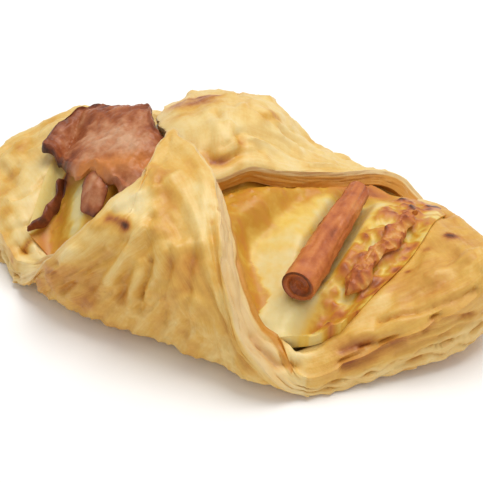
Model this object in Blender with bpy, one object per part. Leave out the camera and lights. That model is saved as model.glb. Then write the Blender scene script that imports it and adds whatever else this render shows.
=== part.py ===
# A bacon and cheese turnover. One square of puff pastry lies corner-wise under the filling. Its front and
# back corners are folded over the middle, and its left and right corners are left as thick points, so the
# filling shows at two openings. X runs from the left point to the right one, Y to the back and Z up.
import bpy
import bmesh
import math
import numpy as np

# Every size below is in millimetres, and the finished meshes are scaled to metres.
MM = 0.001

# Driving sizes of the parcel
SHEET_REACH = 76.0          # middle of the sheet to a corner, once baked
FOLD_REACH = 38.0           # middle of the sheet to a fold line
BASE_THICKNESS = 4.2        # pastry under the filling
SIDE_LOW_FRONT = 14.0       # height of the widest place of the front wall
SIDE_LOW_BACK = 12.0
SIDE_HEIGHT = 34.0          # where the parcel is this high; it changes with the height,
SIDE_LEAST = 6.0            # between these two
SIDE_MOST = 16.0
BASE_SQUARENESS = 5.0       # higher is flatter below and tighter at the fold
TOP_ROUNDNESS = 2.35        # 2 is an ellipse
FRONT_TUCK = 14.0           # how far the front flap's corner leans to the left
BACK_TUCK = 4.0
RIGHT_LIFT = 6.5            # the right point stands this far off the table
LEFT_LIFT = 2.0
LEFT_LEAN = 13.0            # the left point swings this far forward
LIFT_POWER = 1.6            # how late along a point its lift comes
LEAN_POWER = 1.3
TIP_BLUNT = 6.0             # the points are rounded off by this much
BLUNT_LENGTH = 20.0
FLATTEN_FROM = 30.0         # the folds open out flat between these distances from the middle
FLATTEN_TO = 45.0
FRONT_FLARE = 0.04          # the front right fold stands out by this share
BACK_SLIP = 4.0             # how far the back flap dips where the front one covers it,
SLIP_FROM = -6.0            # from this far behind the middle plane to this far in front of it
SLIP_TO = 8.0
SQUEEZE = 0.3               # the bottom is pressed flat over this height
GAP = 0.5                   # clearance between neighbouring pieces
STEEP_GAP = 0.9             # and this much more on the steep slopes of the two points
THIN = 0.8                  # the filling runs out to this thickness
FACET = 1.7                 # half a facet of the filling

# Thickness of the puffed points, and of the flaps and cut edges
POINT_FROM = 36.0
POINT_TO = 49.0
POINT_BEND = 8.0            # and start this much nearer the middle at the front and back
RIGHT_POINT = 12.0
RIGHT_TIP_EXTRA = 8.0
RIGHT_MIDDLE_EXTRA = 5.0
RIGHT_BACK_EXTRA = 2.5
LEFT_POINT = 14.0
LEFT_TIP_LOSS = 5.5
LEFT_MIDDLE_EXTRA = 4.0
LEFT_BACK_EXTRA = 3.0
LEFT_HUMP = 5.0             # the left point bulges up behind
FOLD_LOSS = 4.0             # and both are pinched where the folds run out
RIM_LOSS = 2.5              # and rounded at the rim
FLAP_EXTRA = 0.4
CUT_EDGE_BACK = 0.6
CUT_EDGE_FRONT_RIGHT = 5.5
CUT_EDGE_FRONT_LEFT = 1.0
LAYERS = 3                  # layers that show at the cut edges
LAYER_DEPTH = 0.012
RAGGEDNESS = 0.005

# Grid of the folded sheet and of the filling
SHEET_CELLS = 44
FILLING_CELLS_X = 28
FILLING_CELLS_Y = 20

# Stations along X, each with a value: the curves that shape the parcel
FRONT_WIDTH = ((-50, 36.0), (-36, 39.5), (-24, 42.0), (0, 42.5), (20, 42.6), (30, 43.6), (36, 42.0),
               (50, 37.0))
BACK_WIDTH = ((-50, 36.0), (-36, 38.0), (0, 38.5), (20, 39.0), (32, 39.5), (50, 36.0))
FRONT_HEIGHT = ((-50, 20.0), (-38, 27.0), (-20, 35.5), (0, 39.0), (12, 38.0), (22, 35.0), (38, 26.0),
                (50, 18.0))
BACK_HEIGHT = ((-50, 14.0), (-36, 22.5), (-28, 27.5), (-21, 31.0), (-12, 34.6), (-4, 36.0), (4, 32.0),
               (12, 27.8), (20, 25.2), (28, 23.6), (36, 18.0), (50, 9.0))
BACK_ROUNDNESS = ((-40, 2.3), (-12, 2.3), (-2, 1.75), (7, 1.24), (16, 1.3), (30, 1.7), (40, 1.8))
# How far round the parcel the sheet would reach at its full length, in radians from under the middle
FRONT_WRAP = ((-38, 2.3), (-30, 2.8), (-22, 2.98), (-15, 3.01), (-10, 3.02), (-5, 3.07), (0, 3.03),
              (7, 3.16), (14, 3.22), (20, 3.07), (24, 2.85), (27, 2.6), (31, 2.35), (38, 2.2))
BACK_WRAP = ((-38, 2.8), (-33, 3.95), (-28.5, 4.4), (-24, 4.35), (-20, 4.15), (-14, 3.86), (-8, 3.68),
             (0, 3.56), (6, 3.47), (13, 3.54), (16.5, 3.39), (20, 3.3), (24, 3.02), (28.5, 2.85), (38, 2.4))
# Extra shift along X of the front flap's left edge
FRONT_EDGE_SHIFT = ((-38, 0.0), (-30, 2.5), (-22, 4.6), (-15, 4.8), (-10, 6.0), (-5, 1.5), (0, 0.0),
                    (38, 0.0))

# The pastry under the filling rises at the sides
BED_WIDTH = 37.0
BED_RISE = 9.0
# Plan outline of the filling: from front (-1) to back (1), and from its left end (-1) to its right end (1)
FILLING_LEFT = ((-1, -42.0), (0, -48.5), (1, -47.5))
FILLING_RIGHT = ((-1, 43.0), (-0.4, 47.0), (0, 48.5), (1, 48.0))
FILLING_FRONT = ((-1, -29.5), (-0.6, -33.0), (0, -33.0), (0.35, -32.0), (0.6, -31.0), (0.8, -28.0),
                 (1, -23.0))
FILLING_BACK = ((-1, 22.0), (-0.6, 29.0), (0, 31.0), (0.5, 31.0), (0.8, 27.0), (1, 20.0))
FILLING_ROUNDING = 0.22     # share of the half length or width over which its edge is rounded
# Left opening: top of the mound under the bacon slice, and how far it drops in front of the slice
MOUND_TOP = 29.5
MOUND_X = -18.0
MOUND_FALL = 0.017
MOUND_DIP = 6.5
# Right opening: heights of the pale floor, of the browned wall behind it and of the heap at its right
FLOOR_HEIGHT = 19.5
FLOOR_SLOPE = 0.27
FLOOR_FALL = 0.4            # the floor falls this fast towards the back, from this far on
FLOOR_FALL_FROM = 11.0
WALL_HEIGHT = ((-12, 24.5), (2, 24.5), (8, 22.3), (14, 19.5), (20, 17.0), (28, 14.0))
HEAP_HEIGHT = 19.8
PIT_X = 29.5                # a pit where the roll's far end lies
PIT_Y = 25.0
PIT_DEPTH = 6.5
# Room under the flaps, measured in from their outside
FRONT_INSET = 6.6
FRONT_CUT_INSET = 11.4
BACK_INSET = 6.2
OPEN_SKY = 99.0             # no flap over the filling
# Right opening: foot of the browned cheese wall at the back, x for each y
WALL_FOOT = ((-12, 11.5), (-8, 13.0), (6.5, 15.5), (16, 22.0), (26, 29.0))
# Right opening: lower edges of the flaps' cuts, y for each x. Between them the filling is open to the sky
FRONT_CUT = ((-14, -4.3), (-8, -7.7), (-2.3, -10.8), (3.5, -14.4), (9.2, -19.1), (14.7, -24.7),
             (20, -29.9), (25, -33.1), (34, -35.4), (49, -36))
BACK_CUT = ((-4, -15.4), (0.6, -6.6), (2.9, -2.6), (5.2, 0.2), (7.4, 1.9), (9.6, 3.9), (13.9, 11.0),
            (18.1, 17.1), (22.3, 24.9), (26.3, 30.9), (30.3, 32.7), (49, 34))
OPEN_FROM = -2.0            # the right opening starts here
OPEN_MARGIN = 4.0           # the facets of the filling keep this far from the cuts,
OPEN_STEP = 1.5             # and it rises to its full height over this much more
# Right opening: bank of browned cheese against the front flap's cut, height for each x, and its width
BANK_HEIGHT = ((-2, 27.0), (3.5, 27.5), (9.2, 24.5), (14.7, 20.8), (20, 17.0), (25, 12.5))
BANK_WIDTH = 6.5

# Bacon slice at the left opening: its front and back edges, y for each x
SLICE_LEFT = -51.5
SLICE_RIGHT = -13.5
SLICE_FRONT = ((-51.5, -7.0), (-50.5, -9.0), (-48, -10.0), (-44, -11.0), (-40.5, -13.0), (-36, -16.2),
               (-31, -15.6), (-26.8, -15.8), (-22, -18.3), (-17.5, -20.0), (-13.5, -18.0))
SLICE_BACK = ((-51.5, -5.0), (-50.5, -1.0), (-49.5, 2.0), (-48, 7.0), (-45, 10.5), (-40, 12.2),
              (-34, 12.4), (-29.5, 10.5), (-26, 5.0), (-22, 1.0), (-17, 0.0), (-13.5, -3.0))
SLICE_THICKNESS = 2.4

# Bacon roll across the right opening: middle of each end, and radius there
ROLL_NEAR = (31.0, -24.5, 19.6)
ROLL_FAR = (26.4, 16.8, 18.8)
ROLL_NEAR_RADIUS = 4.2
ROLL_FAR_RADIUS = 3.7
ROLL_SIDES = 20
ROLL_RINGS = 9

# Browned strip of bacon in the cheese at the right: x for each y, and its half width
STRIP_NEAR = -16.5
STRIP_FAR = 14.0
STRIP_MIDDLE = ((-16.5, 39.8), (-12, 40.8), (-6, 41.0), (0, 43.0), (6, 42.4), (14, 43.2))
STRIP_HALF = ((-16.5, 1.6), (-12, 2.6), (-6, 2.0), (0, 2.5), (6, 2.2), (14, 1.5))
STRIP_THICKNESS = 1.6

# Small curl of bacon below the slice: middle of its top and of its tip
CURL_TOP = (-29.8, -19.4)
CURL_TIP = (-24.8, -23.2)
CURL_HALF = 3.3
CURL_THICKNESS = 2.0
# Crisp edge of bacon along the foot of the left wall: x for each y
EDGE_NEAR = -30.5
EDGE_FAR = -12.8
EDGE_MIDDLE = ((-30.5, -40.6), (-28, -39.8), (-24, -39.8), (-20, -40.2), (-16, -41.2),
               (-12.8, -42.4))
EDGE_HALF = 1.25
EDGE_THICKNESS = 1.7


def smooth(x, low, high):
    """0 below low, 1 above high, with an even curve between."""
    t = np.clip((x - low) / (high - low), 0.0, 1.0)
    return t * t * (3.0 - 2.0 * t)


def along(x, stations):
    """A smooth curve through the stations."""
    at, value = (np.array(column, float) for column in zip(*stations))
    slope = np.gradient(value, at)
    x = np.clip(x, at[0], at[-1])
    i = np.clip(np.searchsorted(at, x, side="right") - 1, 0, len(at) - 2)
    width = at[i + 1] - at[i]
    t = (x - at[i]) / width
    start = (1 + 2 * t) * (1 - t) ** 2 * value[i] + t * (1 - t) ** 2 * width * slope[i]
    end = t * t * (3 - 2 * t) * value[i + 1] + t * t * (t - 1) * width * slope[i + 1]
    return start + end


def parcel_size(x, front):
    """Half width, height, height of the widest place, and roundness above it."""
    width = np.where(front, along(x, FRONT_WIDTH), along(x, BACK_WIDTH))
    height = np.where(front, along(x, FRONT_HEIGHT), along(x, BACK_HEIGHT))
    side = np.where(front, SIDE_LOW_FRONT, SIDE_LOW_BACK) * height / SIDE_HEIGHT
    roundness = np.where(front, TOP_ROUNDNESS, along(x, BACK_ROUNDNESS))
    return width, height, np.clip(side, SIDE_LEAST, SIDE_MOST), roundness


def back_slip(forward):
    """The back flap slips under the front one."""
    return BACK_SLIP * smooth(forward, SLIP_FROM, SLIP_TO)


def parcel_section(x, turn, front, inset):
    """Distance from the middle plane and height, for an angle turned from under the middle to over it."""
    width, height, low, roundness = parcel_size(x, front)
    width = width - inset
    below = np.cos(turn) > 0
    power = np.where(below, BASE_SQUARENESS, roundness)
    rise = np.maximum(np.where(below, low, height - low) - inset, 1.0)
    angle = np.arctan2(width * np.abs(np.sin(turn)), rise * np.abs(np.cos(turn)))
    reach = ((np.sin(angle) / width) ** power + (np.cos(angle) / rise) ** power) ** (-1.0 / power)
    out = reach * np.sin(angle) * np.where(np.sin(turn) < 0, -1.0, 1.0)
    middle = np.maximum(low, inset + 1.0)
    up = middle - np.where(below, 1.0, -1.0) * reach * np.cos(angle)
    return out, up - np.where(front | below, 0.0, back_slip(-out))


def sheet_thickness(u, v):
    """The points and the cut edges have puffed up, and the pastry under the filling has not."""
    reach = np.abs(u)
    edge = np.maximum(SHEET_REACH - reach - np.abs(v), 0.0)
    off_middle = np.minimum(np.abs(v), FOLD_REACH) / FOLD_REACH
    point = smooth(reach + POINT_BEND * off_middle ** 2, POINT_FROM, POINT_TO)
    left_tip = np.clip((-u - 48) / (SHEET_REACH - 48), 0, 1)
    right_tip = np.clip((u - 50) / (SHEET_REACH - 50), 0, 1)
    right = RIGHT_POINT + RIGHT_TIP_EXTRA * right_tip + RIGHT_MIDDLE_EXTRA * smooth(edge, 0, 18)
    right = right + RIGHT_BACK_EXTRA * smooth(v, -4, 16)
    left = LEFT_POINT - LEFT_TIP_LOSS * left_tip
    left = left + LEFT_MIDDLE_EXTRA * (1 - 0.5 * left_tip) * smooth(edge, 0, 22)
    left = left + LEFT_BACK_EXTRA * (1 - left_tip) * smooth(v, -10, 14)
    left = left + LEFT_HUMP * (1 - 0.5 * left_tip) * smooth(v, -2, 14) * smooth(reach, 47, 57)
    at_fold = np.exp(-(edge / 12) ** 2) * np.exp(-((reach - FOLD_REACH) / 9) ** 2)
    corner = np.where(u > 0, right, left) - FOLD_LOSS * at_fold - RIM_LOSS * np.exp(-edge / 1.5)
    flap = smooth(np.abs(v), 34, 44) * (1 - smooth(reach, 26, 36))
    lip = np.exp(-(edge / 9) ** 2) * smooth(reach, 4, 20) * (1 - smooth(reach, 30, 40))
    cut_edge = np.where(v > 0, CUT_EDGE_BACK, np.where(u > 0, CUT_EDGE_FRONT_RIGHT, CUT_EDGE_FRONT_LEFT))
    return BASE_THICKNESS * (1 - point) + corner * point + FLAP_EXTRA * flap + cut_edge * lip


def point_lift(u):
    """How far the two points stand off the table."""
    right = RIGHT_LIFT * np.clip((u - 40) / (SHEET_REACH - 40), 0, 1) ** LIFT_POWER
    left = LEFT_LIFT * np.clip((-u - 46) / (SHEET_REACH - 46), 0, 1) ** LIFT_POWER
    return right + left


def folded_sheet(slab):
    """Fold a flat slab with corners at (-1, -1, 0) and (1, 1, 1) into the parcel."""
    p, q, level = slab.T
    # The cut edge shows its layers: they stand out and in by turns
    belly = np.sin(level * math.pi) * (1 - np.exp(-((SHEET_REACH * np.abs(p + q) / 2 - 34) / 5) ** 2))
    layer = LAYER_DEPTH * np.sin(level * math.pi * LAYERS) * belly
    ragged = RAGGEDNESS * belly * (np.sin(p * 23 + level * 5) + np.sin(q * 19 + 2 + level * 4))
    p = np.where(np.abs(p) > 0.9999, p * (1 + layer + ragged), p)
    q = np.where(np.abs(q) > 0.9999, q * (1 + layer + ragged), q)
    u = SHEET_REACH * (p + q) / 2
    v = SHEET_REACH * (q - p) / 2
    inset = sheet_thickness(u, v) * level
    front = v < 0
    across = np.abs(v)
    flap = np.clip(2 * across / SHEET_REACH - 1, 0.0, 1.0)
    wrap = np.where(front, along(u, FRONT_WRAP), along(u, BACK_WRAP))
    x = u - np.where(front, FRONT_TUCK, BACK_TUCK) * flap ** 2.2
    edge_flap = np.maximum(1 - 2 * np.abs(u) / SHEET_REACH, 0.02)
    x = x + np.where(front, along(u, FRONT_EDGE_SHIFT) * np.clip(flap / edge_flap, 0, 1), 0.0)
    blunt = smooth(np.abs(u), SHEET_REACH - 0.8 * BLUNT_LENGTH, SHEET_REACH + 0.2 * BLUNT_LENGTH)
    x = x - np.sign(u) * TIP_BLUNT * blunt ** 1.5
    out, up = parcel_section(x, across / SHEET_REACH * wrap, front, inset)
    flat = smooth(np.abs(u), FLATTEN_FROM, FLATTEN_TO)
    y = (out * (1 - flat) + across * flat) * np.where(front, -1.0, 1.0)
    z = np.maximum(up - SQUEEZE, 0.0) * (1 - flat) + inset * flat + point_lift(u)
    y = y - LEFT_LEAN * np.clip((-u - FOLD_REACH) / FOLD_REACH, 0, 1) ** LEAN_POWER
    y = y * (1 + FRONT_FLARE * smooth(u, FLATTEN_FROM, FLATTEN_TO) * front)
    return np.stack([x, y, z], -1)


def bed(x, y):
    """Height of the pastry that the filling lies on."""
    swing = np.clip((-x - FOLD_REACH) / FOLD_REACH, 0, 1) ** LEAN_POWER
    side = np.clip(np.abs(y) / BED_WIDTH, 0, 0.99) ** BASE_SQUARENESS
    folded = 1 - smooth(np.abs(x), FLATTEN_FROM, FLATTEN_TO)
    rise = BED_RISE * (1 - (1 - side) ** (1 / BASE_SQUARENESS)) * folded
    return sheet_thickness(x, y + LEFT_LEAN * swing) + rise + point_lift(x)


def filling_bottom(x, y):
    return bed(x, y) + GAP + STEEP_GAP * smooth(np.abs(x), 33, 38)


def under_flap(x, y, front, inset):
    """Height of the underside of a flap, taken as wide as the whole parcel."""
    width, height, low, roundness = parcel_size(x, front)
    share = np.clip(np.abs(y) / (width - inset), 0, 0.999)
    arch = (1 - share ** roundness) ** (1 / roundness)
    slip = np.where(front, 0.0, back_slip(-y))
    return low + np.maximum(height - low - inset, 0.5) * arch - slip


def left_mound(x, y):
    """Cheese that carries the bacon slice."""
    spread = 0.9 - 0.45 * smooth(y, -6, 8)
    mound = MOUND_TOP - MOUND_FALL * ((x - MOUND_X) ** 2 * spread + y ** 2 * 0.75)
    mound = mound - 0.35 * np.maximum(-y - 14, 0) - 1.5 * np.maximum(y - 9.5, 0)
    room = under_flap(x, y, True, BACK_INSET) - SLICE_THICKNESS - 1.6
    return mound - np.maximum(mound - room, 0) * smooth(x, -22, -16)


def right_bowl(x, y):
    """Cheese of the right opening: a pale floor, browned banks round it and a browned heap at the right."""
    floor = FLOOR_HEIGHT + FLOOR_SLOPE * np.minimum(y + 6, 0) + 0.5 * np.maximum(14 - x, 0)
    behind = smooth(along(y, WALL_FOOT) - x, -1.0, 4.0)
    floor = floor - FLOOR_FALL * np.maximum(y - FLOOR_FALL_FROM, 0)
    floor = floor + (np.maximum(along(y, WALL_HEIGHT), floor) - floor) * behind
    pit = np.exp(-((x - PIT_X) / 5.0) ** 2 - ((y - PIT_Y) / 6.0) ** 2)
    heap = HEAP_HEIGHT - 0.0125 * (y - 5) ** 2 - 2.0 * smooth(x, 44, 50)
    heap = heap + 0.35 * np.sin(x * 0.5 + 1) * np.sin(y * 0.4)
    floor = floor + (heap - floor) * smooth(x, 31, 37)
    floor = floor - PIT_DEPTH * pit
    bank = 1 - smooth(y - along(x, FRONT_CUT), 0.5, BANK_WIDTH)
    raised = np.maximum(floor, along(x, BANK_HEIGHT))
    return floor + (raised - floor) * bank


def roll_axis(y):
    share = (y - ROLL_NEAR[1]) / (ROLL_FAR[1] - ROLL_NEAR[1])
    middle = [ROLL_NEAR[k] + (ROLL_FAR[k] - ROLL_NEAR[k]) * share for k in (0, 2)]
    return middle[0], middle[1], ROLL_NEAR_RADIUS + (ROLL_FAR_RADIUS - ROLL_NEAR_RADIUS) * share


def cheese_top(x, y):
    """Top of the filling, hollowed for the bacon that lies in it."""
    dip = smooth(-x, 31, 42) * (1 - smooth(y, -15, -5))
    left = left_mound(x, y) - MOUND_DIP * dip
    top = left * (1 - smooth(x, -10, 8)) + right_bowl(x, y) * smooth(x, -10, 8)
    front_room = under_flap(x, y, True, np.where(x > 4, FRONT_CUT_INSET, FRONT_INSET))
    back_room = under_flap(x, y, False, BACK_INSET + 1.8 * smooth(-x, 23, 28))
    open_left = OPEN_SKY * smooth(-x, 32.5, 36)
    past_front = smooth(y - along(x, FRONT_CUT), OPEN_MARGIN, OPEN_MARGIN + OPEN_STEP)
    past_back = smooth(along(x, BACK_CUT) - y, OPEN_MARGIN, OPEN_MARGIN + OPEN_STEP)
    front_room = front_room + open_left + OPEN_SKY * past_front * (x > OPEN_FROM)
    back_room = back_room + open_left + OPEN_SKY * past_back * (x > OPEN_FROM)
    top = np.where(y < 0, np.minimum(top, front_room), top)
    under_back = (y > 0) | ((x > -24) & (x < 8))
    top = np.where(under_back, np.minimum(top, back_room), top)
    roll_x, roll_z, radius = roll_axis(np.clip(y, ROLL_NEAR[1] - 1, ROLL_FAR[1] + 1))
    beside = np.abs(x - roll_x)
    by_roll = (beside < radius + 4) & (y > ROLL_NEAR[1] - 2.5) & (y < ROLL_FAR[1] + 2.5)
    trough = roll_z - np.sqrt(np.maximum((radius * 1.1 + 0.9) ** 2 - beside ** 2, 0.0))
    return np.where(by_roll, np.minimum(top, trough), top)


def filling_place(slab):
    a, b, level = slab.T
    y = along(a, FILLING_FRONT) * (1 - b) / 2 + along(a, FILLING_BACK) * (1 + b) / 2
    x = along(b, FILLING_LEFT) * (1 - a) / 2 + along(b, FILLING_RIGHT) * (1 + a) / 2
    bottom = filling_bottom(x, y)
    top = np.maximum(cheese_top(x, y), bottom + THIN)
    from_edge = np.clip(np.minimum(1 - np.abs(a), 1 - np.abs(b)) / FILLING_ROUNDING, 0.0, 1.0)
    rounded = bottom + THIN + (top - bottom - THIN) * np.sqrt(1 - (1 - from_edge) ** 2)
    return np.stack([x, y, bottom + (rounded - bottom) * level], -1)


def slice_place(slab):
    a, b, level = slab.T
    x = SLICE_LEFT + (SLICE_RIGHT - SLICE_LEFT) * (a + 1) / 2
    y = along(x, SLICE_FRONT) * (1 - b) / 2 + along(x, SLICE_BACK) * (1 + b) / 2
    wave = 0.5 * np.sin(x * 0.42 + y * 0.2) + 0.4 * np.sin(y * 0.55 - x * 0.15)
    bottom = np.maximum(left_mound(x, y) + GAP, on_filling(x, y))
    bottom = bottom + (1 - smooth(x, -30, -24)) * (0.6 + 0.6 * wave)
    return np.stack([x, y, bottom + SLICE_THICKNESS * level], -1)


def curl_place(slab):
    a, b, level = slab.T
    half = CURL_HALF * np.sqrt(np.maximum(1.05 - a ** 2, 0.05))
    along_x = (CURL_TIP[0] - CURL_TOP[0]) / 2
    along_y = (CURL_TIP[1] - CURL_TOP[1]) / 2
    length = math.hypot(along_x, along_y)
    x = (CURL_TOP[0] + CURL_TIP[0]) / 2 + along_x * a - along_y / length * half * b
    y = (CURL_TOP[1] + CURL_TIP[1]) / 2 + along_y * a + along_x / length * half * b
    bottom = on_filling(x, y)
    return np.stack([x, y, bottom + CURL_THICKNESS * level * (1.2 - 0.4 * b ** 2)], -1)


def ribbon_place(slab, near, far, middle, half, thickness):
    a, b, level = slab.T
    y = near + (far - near) * (a + 1) / 2
    taper = np.sqrt(np.maximum(1.04 - a ** 6, 0.04))
    x = along(y, middle) + half(y) * taper * b
    return np.stack([x, y, on_filling(x, y) + thickness * level * (1.1 - 0.3 * b ** 2)], -1)


def strip_place(slab):
    def half(y):
        return along(y, STRIP_HALF)
    return ribbon_place(slab, STRIP_NEAR, STRIP_FAR, STRIP_MIDDLE, half, STRIP_THICKNESS)


def on_filling(x, y):
    """Clear height over the facets of the filling: the highest place round about, and the gap."""
    highest = 0.0
    for dx, dy in ((0, 0), (FACET, 0), (-FACET, 0), (0, FACET), (0, -FACET)):
        thinnest = filling_bottom(x + dx, y + dy) + THIN
        highest = np.maximum(highest, np.maximum(cheese_top(x + dx, y + dy), thinnest))
    return highest + GAP


def edge_place(slab):
    def half(y):
        return EDGE_HALF
    return ribbon_place(slab, EDGE_NEAR, EDGE_FAR, EDGE_MIDDLE, half, EDGE_THICKNESS)


def roll_object(name):
    """A rolled slice: a long body with a step where the slice ends and a hollow in each end face."""
    bm = bmesh.new()
    rings = ROLL_RINGS + 7
    bmesh.ops.create_uvsphere(bm, u_segments=ROLL_SIDES, v_segments=rings, radius=1.0)
    for vert in bm.verts:
        ring = round(math.acos(max(-1.0, min(1.0, vert.co.z))) / math.pi * rings)
        turn = math.atan2(vert.co.y, vert.co.x)
        from_end = min(ring, rings - ring)
        wide = (0.0, 0.35, 0.72, 0.93)[from_end] if from_end < 4 else 1.0
        deep = (1.6, 1.3, 0.2, 0.0)[from_end] if from_end < 4 else 0.35
        if from_end >= 4:
            share = (ring - 4) / (rings - 8)
        else:
            share = 0.0 if ring < 4 else 1.0
        length = ROLL_FAR[1] - ROLL_NEAR[1]
        sign = 1 if share < 0.5 else -1
        y = ROLL_NEAR[1] + length * share + sign * deep * (from_end < 5)
        middle_x, middle_z, radius = roll_axis(y)
        step = 0.07 * ((turn / (2 * math.pi) + 0.3) % 1.0)
        lump = 0.03 * math.sin(2 * turn + share * 5) + 0.03 * math.sin(share * 9 + turn)
        radius = radius * wide * (0.95 + step + lump)
        x = middle_x + radius * math.cos(turn)
        z = middle_z + radius * math.sin(turn)
        vert.co = np.array([x, y, z]) * MM
    return finished(name, bm)


def slab_object(name, cells_x, cells_y, levels, place):
    """A closed flat slab of cells, moved point by point into its final shape."""
    bm = bmesh.new()
    bmesh.ops.create_grid(bm, x_segments=cells_x, y_segments=cells_y, size=1.0)
    top = list(bm.faces)
    for step in range(levels):
        made = bmesh.ops.extrude_face_region(bm, geom=top, use_keep_orig=True)["geom"]
        if step > 0:
            bmesh.ops.delete(bm, geom=top, context="FACES")
        top = [item for item in made if isinstance(item, bmesh.types.BMFace)]
        for vert in {vert for face in top for vert in face.verts}:
            vert.co.z = (step + 1) / levels
    bm.verts.ensure_lookup_table()
    flat = np.array([v.co[:] for v in bm.verts])
    shaped = place(flat) * MM
    for vert, co in zip(bm.verts, shaped):
        vert.co = co
    return finished(name, bm)


def finished(name, bm):
    bmesh.ops.recalc_face_normals(bm, faces=list(bm.faces))
    if bm.calc_volume(signed=True) < 0:
        bmesh.ops.reverse_faces(bm, faces=list(bm.faces))
    mesh = bpy.data.meshes.new(name)
    bm.to_mesh(mesh)
    bm.free()
    mesh.shade_smooth()
    mesh.set_sharp_from_angle(angle=math.radians(50))
    obj = bpy.data.objects.new(name, mesh)
    bpy.context.scene.collection.objects.link(obj)
    return obj


def coat(obj, color, roughness):
    material = bpy.data.materials.new(obj.name)
    material.use_nodes = True
    shader = material.node_tree.nodes["Principled BSDF"]
    shader.inputs["Base Color"].default_value = (*color, 1.0)
    shader.inputs["Roughness"].default_value = roughness
    shader.inputs["Metallic"].default_value = 0.0
    obj.data.materials.append(material)


for old in list(bpy.data.objects):
    bpy.data.objects.remove(old, do_unlink=True)

pastry = slab_object("pastry", SHEET_CELLS, SHEET_CELLS, 3, folded_sheet)
coat(pastry, (0.78, 0.52, 0.22), 0.45)

filling = slab_object("cheese_filling", FILLING_CELLS_X, FILLING_CELLS_Y, 1, filling_place)
coat(filling, (0.86, 0.66, 0.22), 0.4)

bacon_slice = slab_object("bacon_slice", 18, 12, 1, slice_place)
coat(bacon_slice, (0.52, 0.2, 0.1), 0.45)

bacon_curl = slab_object("bacon_curl", 6, 6, 1, curl_place)
coat(bacon_curl, (0.5, 0.19, 0.09), 0.45)

bacon_edge = slab_object("bacon_edge", 10, 3, 1, edge_place)
coat(bacon_edge, (0.3, 0.1, 0.05), 0.5)

bacon_roll = roll_object("bacon_roll")
coat(bacon_roll, (0.55, 0.22, 0.11), 0.45)

bacon_strip = slab_object("bacon_strip", 16, 4, 1, strip_place)
coat(bacon_strip, (0.6, 0.3, 0.14), 0.5)

# The middle of the whole stands on the origin
pieces = [pastry, filling, bacon_slice, bacon_curl, bacon_edge, bacon_roll, bacon_strip]
corners = np.array([vert.co[:] for piece in pieces for vert in piece.data.vertices])
low = corners.min(axis=0)
high = corners.max(axis=0)
for piece in pieces:
    for vert in piece.data.vertices:
        vert.co.x -= (low[0] + high[0]) / 2
        vert.co.y -= (low[1] + high[1]) / 2
        vert.co.z -= low[2]
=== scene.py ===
# Bacon and cheese turnover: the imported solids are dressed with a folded, blistered puff pastry, melted
# cheese and roasted bacon, then set on a pale floor in soft light.
import bpy
import math
import numpy as np
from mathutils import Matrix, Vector, noise


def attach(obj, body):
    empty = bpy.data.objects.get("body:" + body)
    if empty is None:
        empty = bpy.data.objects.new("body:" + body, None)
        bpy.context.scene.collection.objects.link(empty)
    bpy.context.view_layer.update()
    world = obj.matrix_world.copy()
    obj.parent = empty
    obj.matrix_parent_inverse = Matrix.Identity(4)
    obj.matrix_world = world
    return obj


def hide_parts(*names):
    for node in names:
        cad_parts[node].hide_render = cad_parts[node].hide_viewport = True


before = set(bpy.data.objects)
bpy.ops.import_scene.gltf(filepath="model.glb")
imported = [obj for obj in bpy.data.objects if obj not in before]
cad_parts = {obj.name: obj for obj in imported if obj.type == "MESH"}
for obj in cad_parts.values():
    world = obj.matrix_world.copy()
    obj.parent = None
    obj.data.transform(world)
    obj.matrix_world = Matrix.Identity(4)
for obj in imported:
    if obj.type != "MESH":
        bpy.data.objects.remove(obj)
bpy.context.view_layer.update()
print("frame loaded")

# All sizes below are millimetres, and meshes are scaled to metres when they are placed
mm = 0.001


# Curves and noise shared by all pieces
def smooth(x, low, high):
    t = np.clip((x - low) / (high - low), 0.0, 1.0)
    return t * t * (3.0 - 2.0 * t)


def along(x, stations):
    at, value = (np.array(column, float) for column in zip(*stations))
    slope = np.gradient(value, at)
    x = np.clip(x, at[0], at[-1])
    i = np.clip(np.searchsorted(at, x, side="right") - 1, 0, len(at) - 2)
    width = at[i + 1] - at[i]
    t = (x - at[i]) / width
    start = (1 + 2 * t) * (1 - t) ** 2 * value[i] + t * (1 - t) ** 2 * width * slope[i]
    end = t * t * (3 - 2 * t) * value[i + 1] + t * t * (t - 1) * width * slope[i + 1]
    return start + end


def lumps(points, size, seed, octaves=2):
    # smooth noise from about -1 to 1, with lumps of the given size
    shift = Vector((seed * 7.31, seed * 3.17, seed * 5.73))
    total = np.zeros(len(points))
    strength = 1.0
    for octave in range(octaves):
        scaled = points / size * 2 ** octave
        total += strength * np.array([noise.noise(Vector(p) + shift) for p in scaled])
        strength *= 0.5
    return total * 1.4


def nearPath(points, path, wide):
    # 1 on a path of points, falling off to 0 about two widths away from it
    path = np.array(path, float)
    best = np.full(len(points), 1e9)
    if len(path) == 1:
        best = ((points - path[0]) ** 2).sum(axis=1)
    for start, end in zip(path[:-1], path[1:]):
        run = end - start
        t = np.clip(((points - start) @ run) / (run @ run), 0, 1)
        best = np.minimum(best, ((points - start - t[:, None] * run) ** 2).sum(axis=1))
    return np.exp(-best / wide ** 2)


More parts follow.
